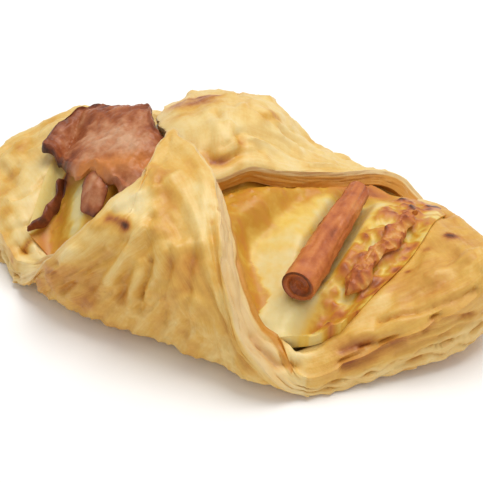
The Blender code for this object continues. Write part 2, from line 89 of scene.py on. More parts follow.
# How the parcel is folded, as in the solids
parcel = {
    "reach": 76.0, "fold": 38.0, "baseThickness": 4.2, "baseSquareness": 5.0, "topRoundness": 2.35,
    "lowFront": 14.0, "lowBack": 12.0,                        # height of each wall's widest place
    "sideHeight": 34.0, "sideLeast": 6.0, "sideMost": 16.0,   # in a parcel this high, and its two limits
    "frontTuck": 14.0, "backTuck": 4.0,                       # how far each flap's corner leans to the left
    "rightLift": 6.5, "leftLift": 2.0, "rightLiftFrom": 40.0, "leftLiftFrom": 46.0, "liftPower": 1.6,
    "leftLean": 13.0, "leanPower": 1.3, "tipBlunt": 6.0, "bluntFrom": 60.0, "bluntTo": 80.0,
    "backSlip": 4.0, "slipFrom": -6.0, "slipTo": 8.0,         # the back flap dips under the front one
    "flattenFrom": 30.0, "flattenTo": 45.0,                   # the folds open out flat between these
    "squeeze": 0.3, "frontFlare": 0.04, "bedWidth": 37.0, "bedRise": 9.0,
    "pointFrom": 36.0, "pointTo": 49.0, "pointBend": 8.0,     # where the two puffed points start
    "rightPoint": 12.0, "leftPoint": 14.0, "foldLoss": 4.0, "rimLoss": 2.5, "flapExtra": 0.4,
    "cutEdgeBack": 0.6, "cutEdgeRight": 5.5, "cutEdgeLeft": 1.0,
    "frontWidth": ((-50, 36.0), (-36, 39.5), (-24, 42.0), (0, 42.5), (20, 42.6), (30, 43.6), (36, 42.0),
                   (50, 37.0)),
    "backWidth": ((-50, 36.0), (-36, 38.0), (0, 38.5), (20, 39.0), (32, 39.5), (50, 36.0)),
    "frontHeight": ((-50, 20.0), (-38, 27.0), (-20, 35.5), (0, 39.0), (12, 38.0), (22, 35.0), (38, 26.0),
                    (50, 18.0)),
    "backHeight": ((-50, 14.0), (-36, 22.5), (-28, 27.5), (-21, 31.0), (-12, 34.6), (-4, 36.0), (4, 32.0),
                   (12, 27.8), (20, 25.2), (28, 23.6), (36, 18.0), (50, 9.0)),
    "backRoundness": ((-40, 2.3), (-12, 2.3), (-2, 1.75), (7, 1.24), (16, 1.3), (30, 1.7), (40, 1.8)),
    # how far round the parcel the sheet would reach, in radians from under the middle
    "frontWrap": ((-38, 2.3), (-30, 2.8), (-22, 2.98), (-15, 3.01), (-10, 3.02), (-5, 3.07), (0, 3.03),
                  (7, 3.16), (14, 3.22), (20, 3.07), (24, 2.85), (27, 2.6), (31, 2.35), (38, 2.2)),
    "backWrap": ((-38, 2.8), (-33, 3.95), (-28.5, 4.4), (-24, 4.35), (-20, 4.15), (-14, 3.86), (-8, 3.68),
                 (0, 3.56), (6, 3.47), (13, 3.54), (16.5, 3.39), (20, 3.3), (24, 3.02), (28.5, 2.85),
                 (38, 2.4)),
    "frontEdgeShift": ((-38, 0.0), (-30, 2.5), (-22, 4.6), (-15, 4.8), (-10, 6.0), (-5, 1.5), (0, 0.0),
                       (38, 0.0)),
}


def parcelSize(x, front):
    # half width, height, height of the widest place, and roundness above it
    width = np.where(front, along(x, parcel["frontWidth"]), along(x, parcel["backWidth"]))
    height = np.where(front, along(x, parcel["frontHeight"]), along(x, parcel["backHeight"]))
    side = np.where(front, parcel["lowFront"], parcel["lowBack"]) * height / parcel["sideHeight"]
    roundness = np.where(front, parcel["topRoundness"], along(x, parcel["backRoundness"]))
    return width, height, np.clip(side, parcel["sideLeast"], parcel["sideMost"]), roundness


def backSlip(forward):
    return parcel["backSlip"] * smooth(forward, parcel["slipFrom"], parcel["slipTo"])


def pointLift(u):
    # how far the right and the left point stand off the table
    right = np.clip((u - parcel["rightLiftFrom"]) / (parcel["reach"] - parcel["rightLiftFrom"]), 0, 1)
    left = np.clip((-u - parcel["leftLiftFrom"]) / (parcel["reach"] - parcel["leftLiftFrom"]), 0, 1)
    right = parcel["rightLift"] * right ** parcel["liftPower"]
    left = parcel["leftLift"] * left ** parcel["liftPower"]
    return right, left


def pointLean(u):
    # how far the left point swings forward
    share = np.clip((-u - parcel["fold"]) / parcel["fold"], 0, 1)
    return parcel["leftLean"] * share ** parcel["leanPower"]


def parcelSection(x, turn, front, inset):
    # distance from the middle plane and height, for an angle turned from under the middle to over it
    width, height, low, roundness = parcelSize(x, front)
    width = width - inset
    below = np.cos(turn) > 0
    power = np.where(below, parcel["baseSquareness"], roundness)
    rise = np.maximum(np.where(below, low, height - low) - inset, 1.0)
    angle = np.arctan2(width * np.abs(np.sin(turn)), rise * np.abs(np.cos(turn)))
    reach = ((np.sin(angle) / width) ** power + (np.cos(angle) / rise) ** power) ** (-1.0 / power)
    out = reach * np.sin(angle) * np.where(np.sin(turn) < 0, -1.0, 1.0)
    middle = np.maximum(low, inset + 1.0)
    up = middle - np.where(below, 1.0, -1.0) * reach * np.cos(angle)
    return out, up - np.where(front | below, 0.0, backSlip(-out))


def sheetThickness(u, v):
    reach = np.abs(u)
    edge = np.maximum(parcel["reach"] - reach - np.abs(v), 0.0)
    offMiddle = np.minimum(np.abs(v), parcel["fold"]) / parcel["fold"]
    point = smooth(reach + parcel["pointBend"] * offMiddle ** 2, parcel["pointFrom"], parcel["pointTo"])
    leftTip = np.clip((-u - 48) / 28, 0, 1)
    rightTip = np.clip((u - 50) / 26, 0, 1)
    right = parcel["rightPoint"] + 8 * rightTip + 5 * smooth(edge, 0, 18) + 2.5 * smooth(v, -4, 16)
    left = parcel["leftPoint"] - 5.5 * leftTip + (4 - 2 * leftTip) * smooth(edge, 0, 22)
    left = left + 3.0 * (1 - leftTip) * smooth(v, -10, 14)
    left = left + 5.0 * (1 - 0.5 * leftTip) * smooth(v, -2, 14) * smooth(reach, 47, 57)
    atFold = np.exp(-(edge / 12) ** 2) * np.exp(-((reach - parcel["fold"]) / 9) ** 2)
    corner = np.where(u > 0, right, left)
    corner = corner - parcel["foldLoss"] * atFold - parcel["rimLoss"] * np.exp(-edge / 1.5)
    flap = smooth(np.abs(v), 34, 44) * (1 - smooth(reach, 26, 36))
    lip = np.exp(-(edge / 9) ** 2) * smooth(reach, 4, 20) * (1 - smooth(reach, 30, 40))
    cutEdge = np.where(u > 0, parcel["cutEdgeRight"], parcel["cutEdgeLeft"])
    cutEdge = np.where(v > 0, parcel["cutEdgeBack"], cutEdge)
    return parcel["baseThickness"] * (1 - point) + corner * point + parcel["flapExtra"] * flap + cutEdge * lip


def foldedSheet(p, q, level):
    u = parcel["reach"] * (p + q) / 2
    v = parcel["reach"] * (q - p) / 2
    inset = sheetThickness(u, v) * level
    front = v < 0
    across = np.abs(v)
    flap = np.clip(2 * across / parcel["reach"] - 1, 0.0, 1.0)
    wrap = np.where(front, along(u, parcel["frontWrap"]), along(u, parcel["backWrap"]))
    x = u - np.where(front, parcel["frontTuck"], parcel["backTuck"]) * flap ** 2.2
    edgeFlap = np.maximum(1 - 2 * np.abs(u) / parcel["reach"], 0.02)
    x = x + np.where(front, along(u, parcel["frontEdgeShift"]) * np.clip(flap / edgeFlap, 0, 1), 0.0)
    tip = smooth(np.abs(u), parcel["bluntFrom"], parcel["bluntTo"])
    x = x - np.sign(u) * parcel["tipBlunt"] * tip ** 1.5
    out, up = parcelSection(x, across / parcel["reach"] * wrap, front, inset)
    flat = smooth(np.abs(u), parcel["flattenFrom"], parcel["flattenTo"])
    y = (out * (1 - flat) + across * flat) * np.where(front, -1.0, 1.0)
    rightLift, leftLift = pointLift(u)
    z = np.maximum(up - parcel["squeeze"], 0.0) * (1 - flat) + inset * flat
    z = z + rightLift
    z = z + leftLift
    y = y - pointLean(u)
    y = y * (1 + parcel["frontFlare"] * smooth(u, parcel["flattenFrom"], parcel["flattenTo"]) * front)
    return np.stack([x, y, z], -1)


# The solids stand with the middle of their box on the origin, which moves the folded parcel this far
middleShift = np.array([0.0, 1.948, 0.0])


# Mesh helpers
def slabGrid(name, cellsX, cellsY, layers):
    # a grid from -1 to 1, pulled up into a closed slab of some layers
    bpy.ops.object.select_all(action="DESELECT")
    bpy.ops.mesh.primitive_grid_add(x_subdivisions=cellsX, y_subdivisions=cellsY, size=2, enter_editmode=True)
    for layer in range(layers):
        bpy.ops.mesh.extrude_region_move(TRANSFORM_OT_translate={"value": (0, 0, 1 / layers)})
    bpy.ops.mesh.select_all(action="SELECT")
    bpy.ops.mesh.normals_make_consistent(inside=False)
    bpy.ops.object.mode_set(mode="OBJECT")
    piece = bpy.context.active_object
    piece.name = name
    piece.data.name = name
    return piece


def readPoints(piece, key="co"):
    flat = np.empty(len(piece.data.vertices) * 3, np.float32)
    piece.data.vertices.foreach_get(key, flat)
    return flat.reshape(-1, 3).astype(float)


def writePoints(piece, points):
    piece.data.vertices.foreach_set("co", (points * mm).astype(np.float32).ravel())
    piece.data.update()


def setTone(piece, name, values):
    layer = piece.data.attributes.new(name, "FLOAT", "POINT")
    layer.data.foreach_set("value", np.clip(values, 0, 1).astype(np.float32))


def signedVolume(piece):
    mesh = piece.data
    mesh.calc_loop_triangles()
    corners = np.empty(len(mesh.loop_triangles) * 3, np.int32)
    mesh.loop_triangles.foreach_get("vertices", corners)
    first, second, third = readPoints(piece)[corners.reshape(-1, 3)].transpose(1, 0, 2)
    return (first * np.cross(second, third)).sum()


def placePiece(piece, points):
    # put the points in place and make sure that the faces look outwards
    writePoints(piece, points + middleShift)
    if signedVolume(piece) < 0:
        piece.data.flip_normals()
    bpy.ops.object.select_all(action="DESELECT")
    piece.select_set(True)
    bpy.context.view_layer.objects.active = piece
    bpy.ops.object.shade_smooth_by_angle(angle=math.radians(60))


def flatGrid(cellsX, cellsY):
    # the same grid as a slab's, as two tables
    return np.meshgrid(np.linspace(-1, 1, cellsX + 1), np.linspace(-1, 1, cellsY + 1))


def blurred(table, passes):
    for _ in range(passes):
        padded = np.pad(table, 1, mode="edge")
        table = (padded[1:-1, 1:-1] * 2 + padded[:-2, 1:-1] + padded[2:, 1:-1]
                 + padded[1:-1, :-2] + padded[1:-1, 2:]) / 6
    return table


def readTable(table, a, b):
    # a table's value at each point of the slab made from it
    rows, columns = table.shape
    i = np.rint((a + 1) / 2 * (columns - 1)).astype(int)
    j = np.rint((b + 1) / 2 * (rows - 1)).astype(int)
    return table[j, i]


def leaves(points, level, count, seed):
    # thin layers at a cut edge: how far each stands out, and 1 in the grooves between them
    phase = level * count + 0.8 * lumps(points * (1, 1, 0), 15.0, seed, 1)
    phase = phase + 0.3 * lumps(points, 4.5, seed + 3, 1)
    index = np.floor(phase)
    place = np.stack([points[:, 0] / 5.0, points[:, 1] / 5.0, index * 3.7], -1)
    # how far the gap under this leaf opens
    gapes = np.clip(0.45 + 1.1 * lumps(place, 1.0, seed + 2, 1), 0, 1)
    groove = np.abs(2 * (phase - index) - 1) ** 4 * gapes
    return (1 - groove) * (1 + 0.9 * lumps(place, 1.0, seed + 1)), groove


# Material helpers
def startMaterial(name):
    material = bpy.data.materials.new(name)
    material.use_nodes = True
    nodes = material.node_tree.nodes
    return material, nodes, material.node_tree.links, nodes["Principled BSDF"]


def ramp(nodes, stops):
    node = nodes.new("ShaderNodeValToRGB")
    bar = node.color_ramp
    while len(bar.elements) < len(stops):
        bar.elements.new(0.5)
    for element, (place, color) in zip(bar.elements, stops):
        element.position = place
        element.color = (*color, 1)
    return node


def mathNode(nodes, links, kind, first, second):
    node = nodes.new("ShaderNodeMath")
    node.operation = kind
    for socket, value in zip(node.inputs, (first, second)):
        if isinstance(value, (int, float)):
            socket.default_value = value
        else:
            links.new(value, socket)
    return node.outputs[0]


def noiseNode(nodes, links, scale, detail, roughness=0.55):
    place = nodes.new("ShaderNodeTexCoord")
    node = nodes.new("ShaderNodeTexNoise")
    node.inputs["Scale"].default_value = scale
    node.inputs["Detail"].default_value = detail
    node.inputs["Roughness"].default_value = roughness
    links.new(place.outputs["Object"], node.inputs["Vector"])
    return node.outputs["Fac"]


def setFlow(piece, name, across, lengthways, layer):
    # a place for each vertex in a streaky pattern, read by the material
    flow = piece.data.attributes.new(name, "FLOAT_VECTOR", "POINT")
    flow.data.foreach_set("vector", np.stack([across, lengthways, layer], -1).astype(np.float32).ravel())


def flowNode(nodes, links, name, scale, detail):
    place = nodes.new("ShaderNodeAttribute")
    place.attribute_name = name
    node = nodes.new("ShaderNodeTexNoise")
    node.inputs["Scale"].default_value = scale
    node.inputs["Detail"].default_value = detail
    links.new(place.outputs["Vector"], node.inputs["Vector"])
    return node.outputs["Fac"]


def toneNode(nodes, name):
    node = nodes.new("ShaderNodeAttribute")
    node.attribute_name = name
    return node.outputs["Fac"]


def bakedMaterial(look):
    # colour from a baked tone on the mesh, broken up by noise; grain in the roughness and the bump
    material, nodes, links, shader = startMaterial(look["name"])
    tone = toneNode(nodes, look["tone"])
    for scale, detail, strength in look["mottle"]:
        speckle = noiseNode(nodes, links, scale, detail)
        centred = mathNode(nodes, links, "SUBTRACT", speckle, 0.5)
        tone = mathNode(nodes, links, "ADD", tone, mathNode(nodes, links, "MULTIPLY", centred, strength))
    grain = noiseNode(nodes, links, look["grainScale"], 4)
    for name, scale, strength, raised in look.get("streaks", ()):
        streak = mathNode(nodes, links, "SUBTRACT", flowNode(nodes, links, name, scale, 4), 0.5)
        tone = mathNode(nodes, links, "ADD", tone, mathNode(nodes, links, "MULTIPLY", streak, strength))
        grain = mathNode(nodes, links, "ADD", grain, mathNode(nodes, links, "MULTIPLY", streak, raised))
    colors = ramp(nodes, look["colors"])
    links.new(tone, colors.inputs["Fac"])
    color = colors.outputs["Color"]
    for name, tint in look.get("washes", ()):
        # a wash of another colour where the mesh says so, frayed by noise at its border
        frayed = mathNode(nodes, links, "MULTIPLY", noiseNode(nodes, links, 420.0, 3), 0.6)
        weight = mathNode(nodes, links, "ADD", toneNode(nodes, name), frayed)
        weight = mathNode(nodes, links, "SUBTRACT", weight, 0.3)
        weight = mathNode(nodes, links, "MULTIPLY", weight, toneNode(nodes, name))
        mix = nodes.new("ShaderNodeMix")
        mix.data_type = "RGBA"
        mix.inputs["B"].default_value = (*tint, 1)
        mix.clamp_factor = True
        links.new(weight, mix.inputs["Factor"])
        links.new(color, mix.inputs["A"])
        color = mix.outputs["Result"]
    links.new(color, shader.inputs["Base Color"])
    rough = nodes.new("ShaderNodeMapRange")
    rough.inputs["To Min"].default_value = look["roughness"][0]
    rough.inputs["To Max"].default_value = look["roughness"][1]
    links.new(grain, rough.inputs["Value"])
    links.new(rough.outputs["Result"], shader.inputs["Roughness"])
    bump = nodes.new("ShaderNodeBump")
    bump.inputs["Strength"].default_value = look["bump"]
    bump.inputs["Distance"].default_value = look["bumpDepth"] * mm
    links.new(grain, bump.inputs["Height"])
    links.new(bump.outputs["Normal"], shader.inputs["Normal"])
    shader.inputs["Subsurface Weight"].default_value = look["glow"]
    shader.inputs["Subsurface Radius"].default_value = (1.0, 0.55, 0.25)
    shader.inputs["Subsurface Scale"].default_value = look["glowDepth"] * mm
    shader.inputs["Specular IOR Level"].default_value = look["gloss"]
    shader.inputs["Coat Weight"].default_value = look["glaze"]
    shader.inputs["Coat Roughness"].default_value = 0.25
    return material


def coat(piece, look):
    piece.data.materials.clear()
    piece.data.materials.append(bakedMaterial(look))


# Pastry
pastryLook = {
    "cells": 188, "layers": 27,
    "unevenness": ((17.0, 0.6, 1), (6.5, 0.3, 2), (2.6, 0.12, 3)),   # size, height and seed of each noise
    "blisterSize": 5.0, "blisterHeight": 0.6,
    "flutes": ((5.5, 22.0, 0.55, 11), (2.3, 14.0, 0.32, 12)),        # width, length, height and seed
    "flakeSteps": 3.0, "flakeHeight": 0.3,
    "leafDepth": 0.6, "leafCount": 5, "creasing": 1.4,
    "tones": {"front": 0.36, "back": 0.24, "right": 0.46, "left": 0.27},
    "name": "bakedPastry", "tone": "baked",
    "mottle": ((110.0, 3, 0.16), (420.0, 3, 0.16), (1300.0, 2, 0.1)),
    "colors": ((0.0, (0.86, 0.69, 0.35)), (0.2, (0.82, 0.59, 0.22)), (0.4, (0.73, 0.42, 0.08)),
               (0.6, (0.60, 0.27, 0.042)), (0.8, (0.38, 0.11, 0.018)), (1.0, (0.11, 0.03, 0.008))),
    "streaks": (("flow", 1.0, 0.22, 0.5), ("flow", 3.1, 0.16, 0.4)),
    "washes": (("soaked", (0.60, 0.26, 0.03)), ("dough", (0.70, 0.47, 0.235))),
    "grainScale": 1500.0, "roughness": (0.36, 0.58), "bump": 0.3, "bumpDepth": 0.3,
    "glow": 0.08, "glowDepth": 1.4, "gloss": 0.45, "glaze": 0.1,
}
# Ridges and creases on the outside: path, half width, height (below 0 for a crease) and extra tone (darker
# above 0)
pastryStrokes = [
    (((-2.9, -33.2, 30.5), (-5.6, -37.6, 26.0), (-9.6, -40.4, 19.0)), 1.8, 1.0, -0.12),
    (((-1.3, -34.6, 29.4), (-3.0, -38.3, 24.9), (-5.2, -40.3, 19.5), (-6.4, -40.6, 13.8)), 1.3, -1.2, 0.12),
    (((-6.4, -36.1, 27.7), (-9.1, -39.2, 23.1), (-12.3, -40.6, 17.5), (-15.3, -40.7, 13.3)), 1.3, -1.0, 0.1),
    (((-2.7, -38.3, 25.0), (-2.5, -40.4, 18.2), (-2.7, -40.5, 11.5)), 1.5, 0.8, -0.05),
    (((1.0, -37.7, 26.0), (1.2, -39.6, 22.1), (-0.9, -40.5, 16.6)), 1.3, -1.0, 0.12),
    (((10.3, -31.7, 31.0), (3.3, -35.7, 28.4), (1.5, -38.6, 24.5), (1.0, -40.5, 16.7)), 1.6, 0.8, -0.08),
    (((-13.1, -37.9, 24.8), (-17.0, -40.0, 19.7), (-23.0, -40.2, 13.5)), 1.5, -0.9, 0.1),
    (((15.8, -31.3, 29.3), (17.1, -36.3, 26.0), (16.4, -40.3, 17.5)), 2.2, -0.7, 0.06),
    (((3.6, -30.1, 32.5), (8.0, -34.0, 29.6), (11.8, -39.0, 22.9)), 2.2, -0.5, 0.05),
    (((-19.7, -38.6, 22.2), (-23.6, -39.7, 17.8), (-30.7, -36.3, 10.9)), 1.5, 0.7, -0.08),
    (((26.9, -37.2, 13.5), (29.9, -37.8, 11.0), (33.2, -37.6, 8.6), (37.4, -34.9, 7.7)), 1.3, -1.6, 0.35),
    (((-5.4, -2.1, 32.4), (-2.7, -2.9, 31.5), (-0.8, -1.8, 31.1), (0.2, 0.4, 31.6)), 1.2, -0.8, 0.25),
    (((-0.5, 6.6, 33.6), (1.0, 4.8, 32.5), (1.2, 2.5, 31.8)), 1.0, -0.9, 0.25),
    (((46.7, -28.8, 6.9), (50.0, -25.1, 7.9), (53.3, -21.8, 10.1), (56.4, -18.8, 10.7)), 1.3, -2.6, 0.26),
    (((60.0, -14.8, 12.8), (61.5, -13.1, 15.8), (64.9, -9.2, 15.5), (67.6, -5.4, 14.1)), 0.8, -1.1, 0.16),
    (((62.6, -11.7, 10.1), (65.0, -9.0, 12.4), (68.5, -3.2, 11.0)), 0.8, -1.1, 0.12),
    (((55.1, -20.0, 8.0), (59.4, -15.8, 10.3), (63.4, -10.8, 10.6)), 0.8, -1.0, 0.12),
    (((45.1, -27.3, 10.0), (47.5, -25.1, 10.8), (50.3, -22.6, 11.6)), 1.1, -0.6, 0.25),
    (((32.6, 34.8, 5.7), (42.3, 24.2, 14.6), (48.3, 22.6, 16.0)), 1.0, -0.6, 0.2),
    (((-43.5, -30.8, 9.3), (-35.8, -33.4, 8.7), (-25.1, -39.8, 14.9)), 1.0, -0.8, 0.15),
    (((-3.2, -30.4, 32.3), (-2.6, -33.3, 30.4), (-3.4, -35.1, 28.9), (-6.6, -40.4, 18.7)), 0.9, -0.9, 0.1),
    (((0.3, -37.4, 26.4), (0.4, -39.0, 23.7), (0.1, -40.1, 20.5), (-1.6, -40.5, 12.6)), 0.8, -0.8, 0.08),
    (((4.8, -34.9, 29.1), (6.0, -38.1, 25.3), (6.1, -40.3, 18.6), (5.2, -40.5, 11.4)), 0.8, -0.7, 0.08),
    (((-11.2, -38.3, 24.4), (-14.2, -40.0, 20.5), (-17.5, -40.6, 16.0), (-22.7, -40.2, 9.7)), 0.9, -0.8, 0.1),
    (((-8.1, -35.9, 27.7), (-10.0, -38.3, 24.5), (-13.0, -40.1, 20.1), (-16.4, -40.7, 14.1)),
     0.8, -0.7, 0.06),
    (((9.0, -31.6, 31.2), (10.4, -36.4, 27.0), (11.7, -39.8, 20.5), (11.3, -40.4, 10.2)), 0.9, -0.6, 0.05),
    (((11.7, -28.6, 32.5), (15.7, -34.7, 27.9), (19.4, -38.5, 22.7), (22.2, -40.9, 12.2)), 0.9, -0.5, 0.05),
    (((-2.9, -18.1, 36.8), (-5.1, -23.5, 35.2), (-8.7, -26.7, 33.6), (-12.7, -30.0, 31.4)), 1.0, 0.7, -0.08),
    (((50.2, -18.4, 13.9), (58.0, -13.6, 16.5), (64.2, -8.3, 18.8), (67.5, -4.6, 20.4)), 0.8, -0.9, 0.1),
    (((48.3, -24.6, 10.8), (55.8, -19.2, 12.0), (62.5, -12.0, 13.3), (67.3, -6.0, 14.7)), 0.8, -1.2, 0.12),
    (((-13.0, 28.0, 29.6), (-4.6, 19.1, 32.8), (-0.3, 20.6, 29.7), (4.4, 23.9, 23.8), (8.6, 30.0, 17.8)),
     1.0, -0.6, 0.06),
    (((-10.9, 12.5, 34.0), (-4.4, 6.1, 35.2), (-0.0, 5.8, 33.3), (4.4, 8.8, 30.0)), 1.0, -0.6, 0.08),
    (((-46.8, -28.0, 10.8), (-42.5, -25.3, 12.2), (-41.9, -19.6, 12.7)), 0.8, -0.7, 0.08),
    (((-50.3, -20.4, 13.9), (-47.2, -17.1, 15.4), (-46.8, -12.3, 16.9)), 0.8, -0.7, 0.08),
    (((-49.1, -27.7, 5.0), (-41.6, -31.4, 8.9), (-36.4, -30.2, 10.0), (-23.6, -39.7, 17.8)), 0.8, -0.8, 0.1),
    (((-39.3, -27.0, 12.0), (-40.6, -29.0, 10.0), (-41.0, -31.0, 9.0), (-42.3, -31.5, 6.0)), 0.9, -0.4, 0.6),
]
# Patches that baked darker (above 0) or are paler (below 0): middle, radius and tone
pastryPatches = [
    ((-11.4, -27.7, 32.8), 3.5, -0.24), ((-7.1, -28.9, 32.8), 3.0, -0.24), ((-12.7, -30.0, 31.4), 2.0, -0.12),
    ((-13.5, -32.5, 29.8), 1.1, 0.5), ((-11.1, -32.8, 30.1), 1.1, 0.5), ((-8.4, -33.6, 29.8), 1.1, 0.55),
    ((-7.0, -33.7, 29.9), 0.8, 0.4), ((-8.0, -19.6, 36.0), 2.5, 0.1), ((-1.4, -25.3, 34.8), 3.5, 0.12),
    ((-0.5, -31.3, 31.8), 2.8, 0.16), ((6.5, -36.5, 27.3), 3.3, 0.16), ((9.6, -38.9, 23.4), 3.3, 0.12),
    ((10.4, -35.5, 28.1), 2.3, 0.1), ((6.6, -40.4, 18.3), 3.0, 0.08), ((2.8, -20.8, 36.2), 2.8, -0.14),
    ((8.0, -23.0, 35.2), 2.3, -0.16), ((7.7, -28.8, 32.9), 3.3, -0.12), ((13.8, -31.8, 30.3), 2.8, -0.08),
    ((20.0, -38.7, 22.5), 2.8, -0.14), ((-13.6, -39.6, 21.7), 3.0, -0.06), ((-21.1, -38.6, 21.7), 2.0, -0.16),
    ((-17.3, -36.4, 25.8), 1.5, -0.14), ((-23.5, -39.8, 17.0), 2.5, 0.08), ((8.7, -23.3, 35.1), 0.6, 0.3),
    ((10.6, -26.5, 33.6), 0.6, 0.3), ((-12.1, -40.7, 11.5), 3.0, 0.06), ((-27.6, 19.2, 26.3), 1.5, 0.3),
    ((-25.5, 21.3, 27.0), 1.8, 0.34), ((-23.0, 23.6, 27.7), 1.8, 0.4), ((-19.9, 24.6, 28.7), 1.8, 0.4),
    ((-16.4, 23.6, 30.4), 1.3, 0.36), ((-17.3, 12.0, 32.0), 2.3, 0.14), ((-20.1, 9.9, 30.8), 1.8, 0.2),
    ((-21.8, 17.6, 29.3), 3.0, 0.36), ((-19.1, 20.6, 30.0), 3.0, 0.4), ((-14.6, 18.5, 32.1), 2.4, 0.3),
    ((-25.6, 17.5, 27.6), 2.4, 0.3),
    ((-1.3, 19.4, 31.0), 1.3, 0.4), ((-1.3, 23.6, 29.2), 1.5, 0.44), ((-0.1, 25.1, 27.4), 1.0, 0.3),
    ((5.2, 19.5, 25.2), 3.0, -0.1), ((7.8, 23.0, 21.8), 2.3, -0.1), ((-2.8, 6.6, 34.8), 2.5, -0.1),
    ((-7.6, 19.4, 33.2), 2.3, -0.06), ((-9.7, 4.0, 34.1), 2.0, 0.1), ((-2.6, -3.1, 31.4), 1.0, 0.35),
    ((-1.1, -1.4, 31.4), 1.0, 0.3), ((0.3, 5.1, 33.0), 0.8, 0.25), ((29.5, 37.8, 9.4), 1.5, 0.3),
    ((27.8, 37.0, 11.2), 1.3, 0.3), ((32.3, 39.6, 6.7), 1.3, 0.25), ((55.4, 10.5, 20.7), 1.3, 0.5),
    ((53.7, 10.8, 20.4), 0.8, 0.4), ((51.1, 5.2, 19.1), 0.9, 0.36), ((50.1, -3.2, 17.8), 0.6, 0.3),
    ((61.7, 0.7, 22.7), 3.5, 0.08), ((59.6, -6.6, 19.6), 3.5, 0.08), ((60.4, 8.8, 21.6), 2.3, 0.06),
    # the pale patches on this line and the next, in front of the right opening, are pale dough with a painted
    # highlight along its lit edge
    ((33.4, -19.3, 4.1), 2.8, -0.3), ((36.0, -30.7, 9.7), 2.5, -0.24), ((39.3, -22.0, 10.2), 2.3, -0.2),
    ((45.3, -21.2, 13.0), 3.0, -0.1), ((49.3, -13.9, 15.9), 2.0, -0.14), ((50.4, -8.3, 17.7), 1.8, 0.08),
    ((-12.0, -40.7, 10.0), 8.0, 0.07), ((-24.0, -39.5, 12.0), 8.0, 0.1), ((-37.0, -35.0, 8.0), 7.0, 0.1),
    ((47.6, -25.4, 10.5), 2.0, 0.12), ((-60.3, -3.5, 15.5), 1.5, 0.3), ((-57.0, -12.1, 14.1), 2.0, 0.26),
    ((-58.9, -0.9, 16.7), 1.3, 0.22), ((-55.0, -18.1, 13.3), 1.8, 0.26), ((-50.0, -24.0, 12.7), 1.5, 0.26),
    ((-57.9, 7.1, 18.8), 1.8, 0.12), ((-50.2, -10.9, 16.7), 2.8, -0.12), ((-44.2, -18.1, 14.6), 2.3, -0.12),
    ((-47.0, -20.6, 14.3), 2.3, -0.12), ((-43.3, -28.6, 11.0), 1.8, 0.1), ((-47.1, -28.5, 10.4), 1.3, 0.15),
]


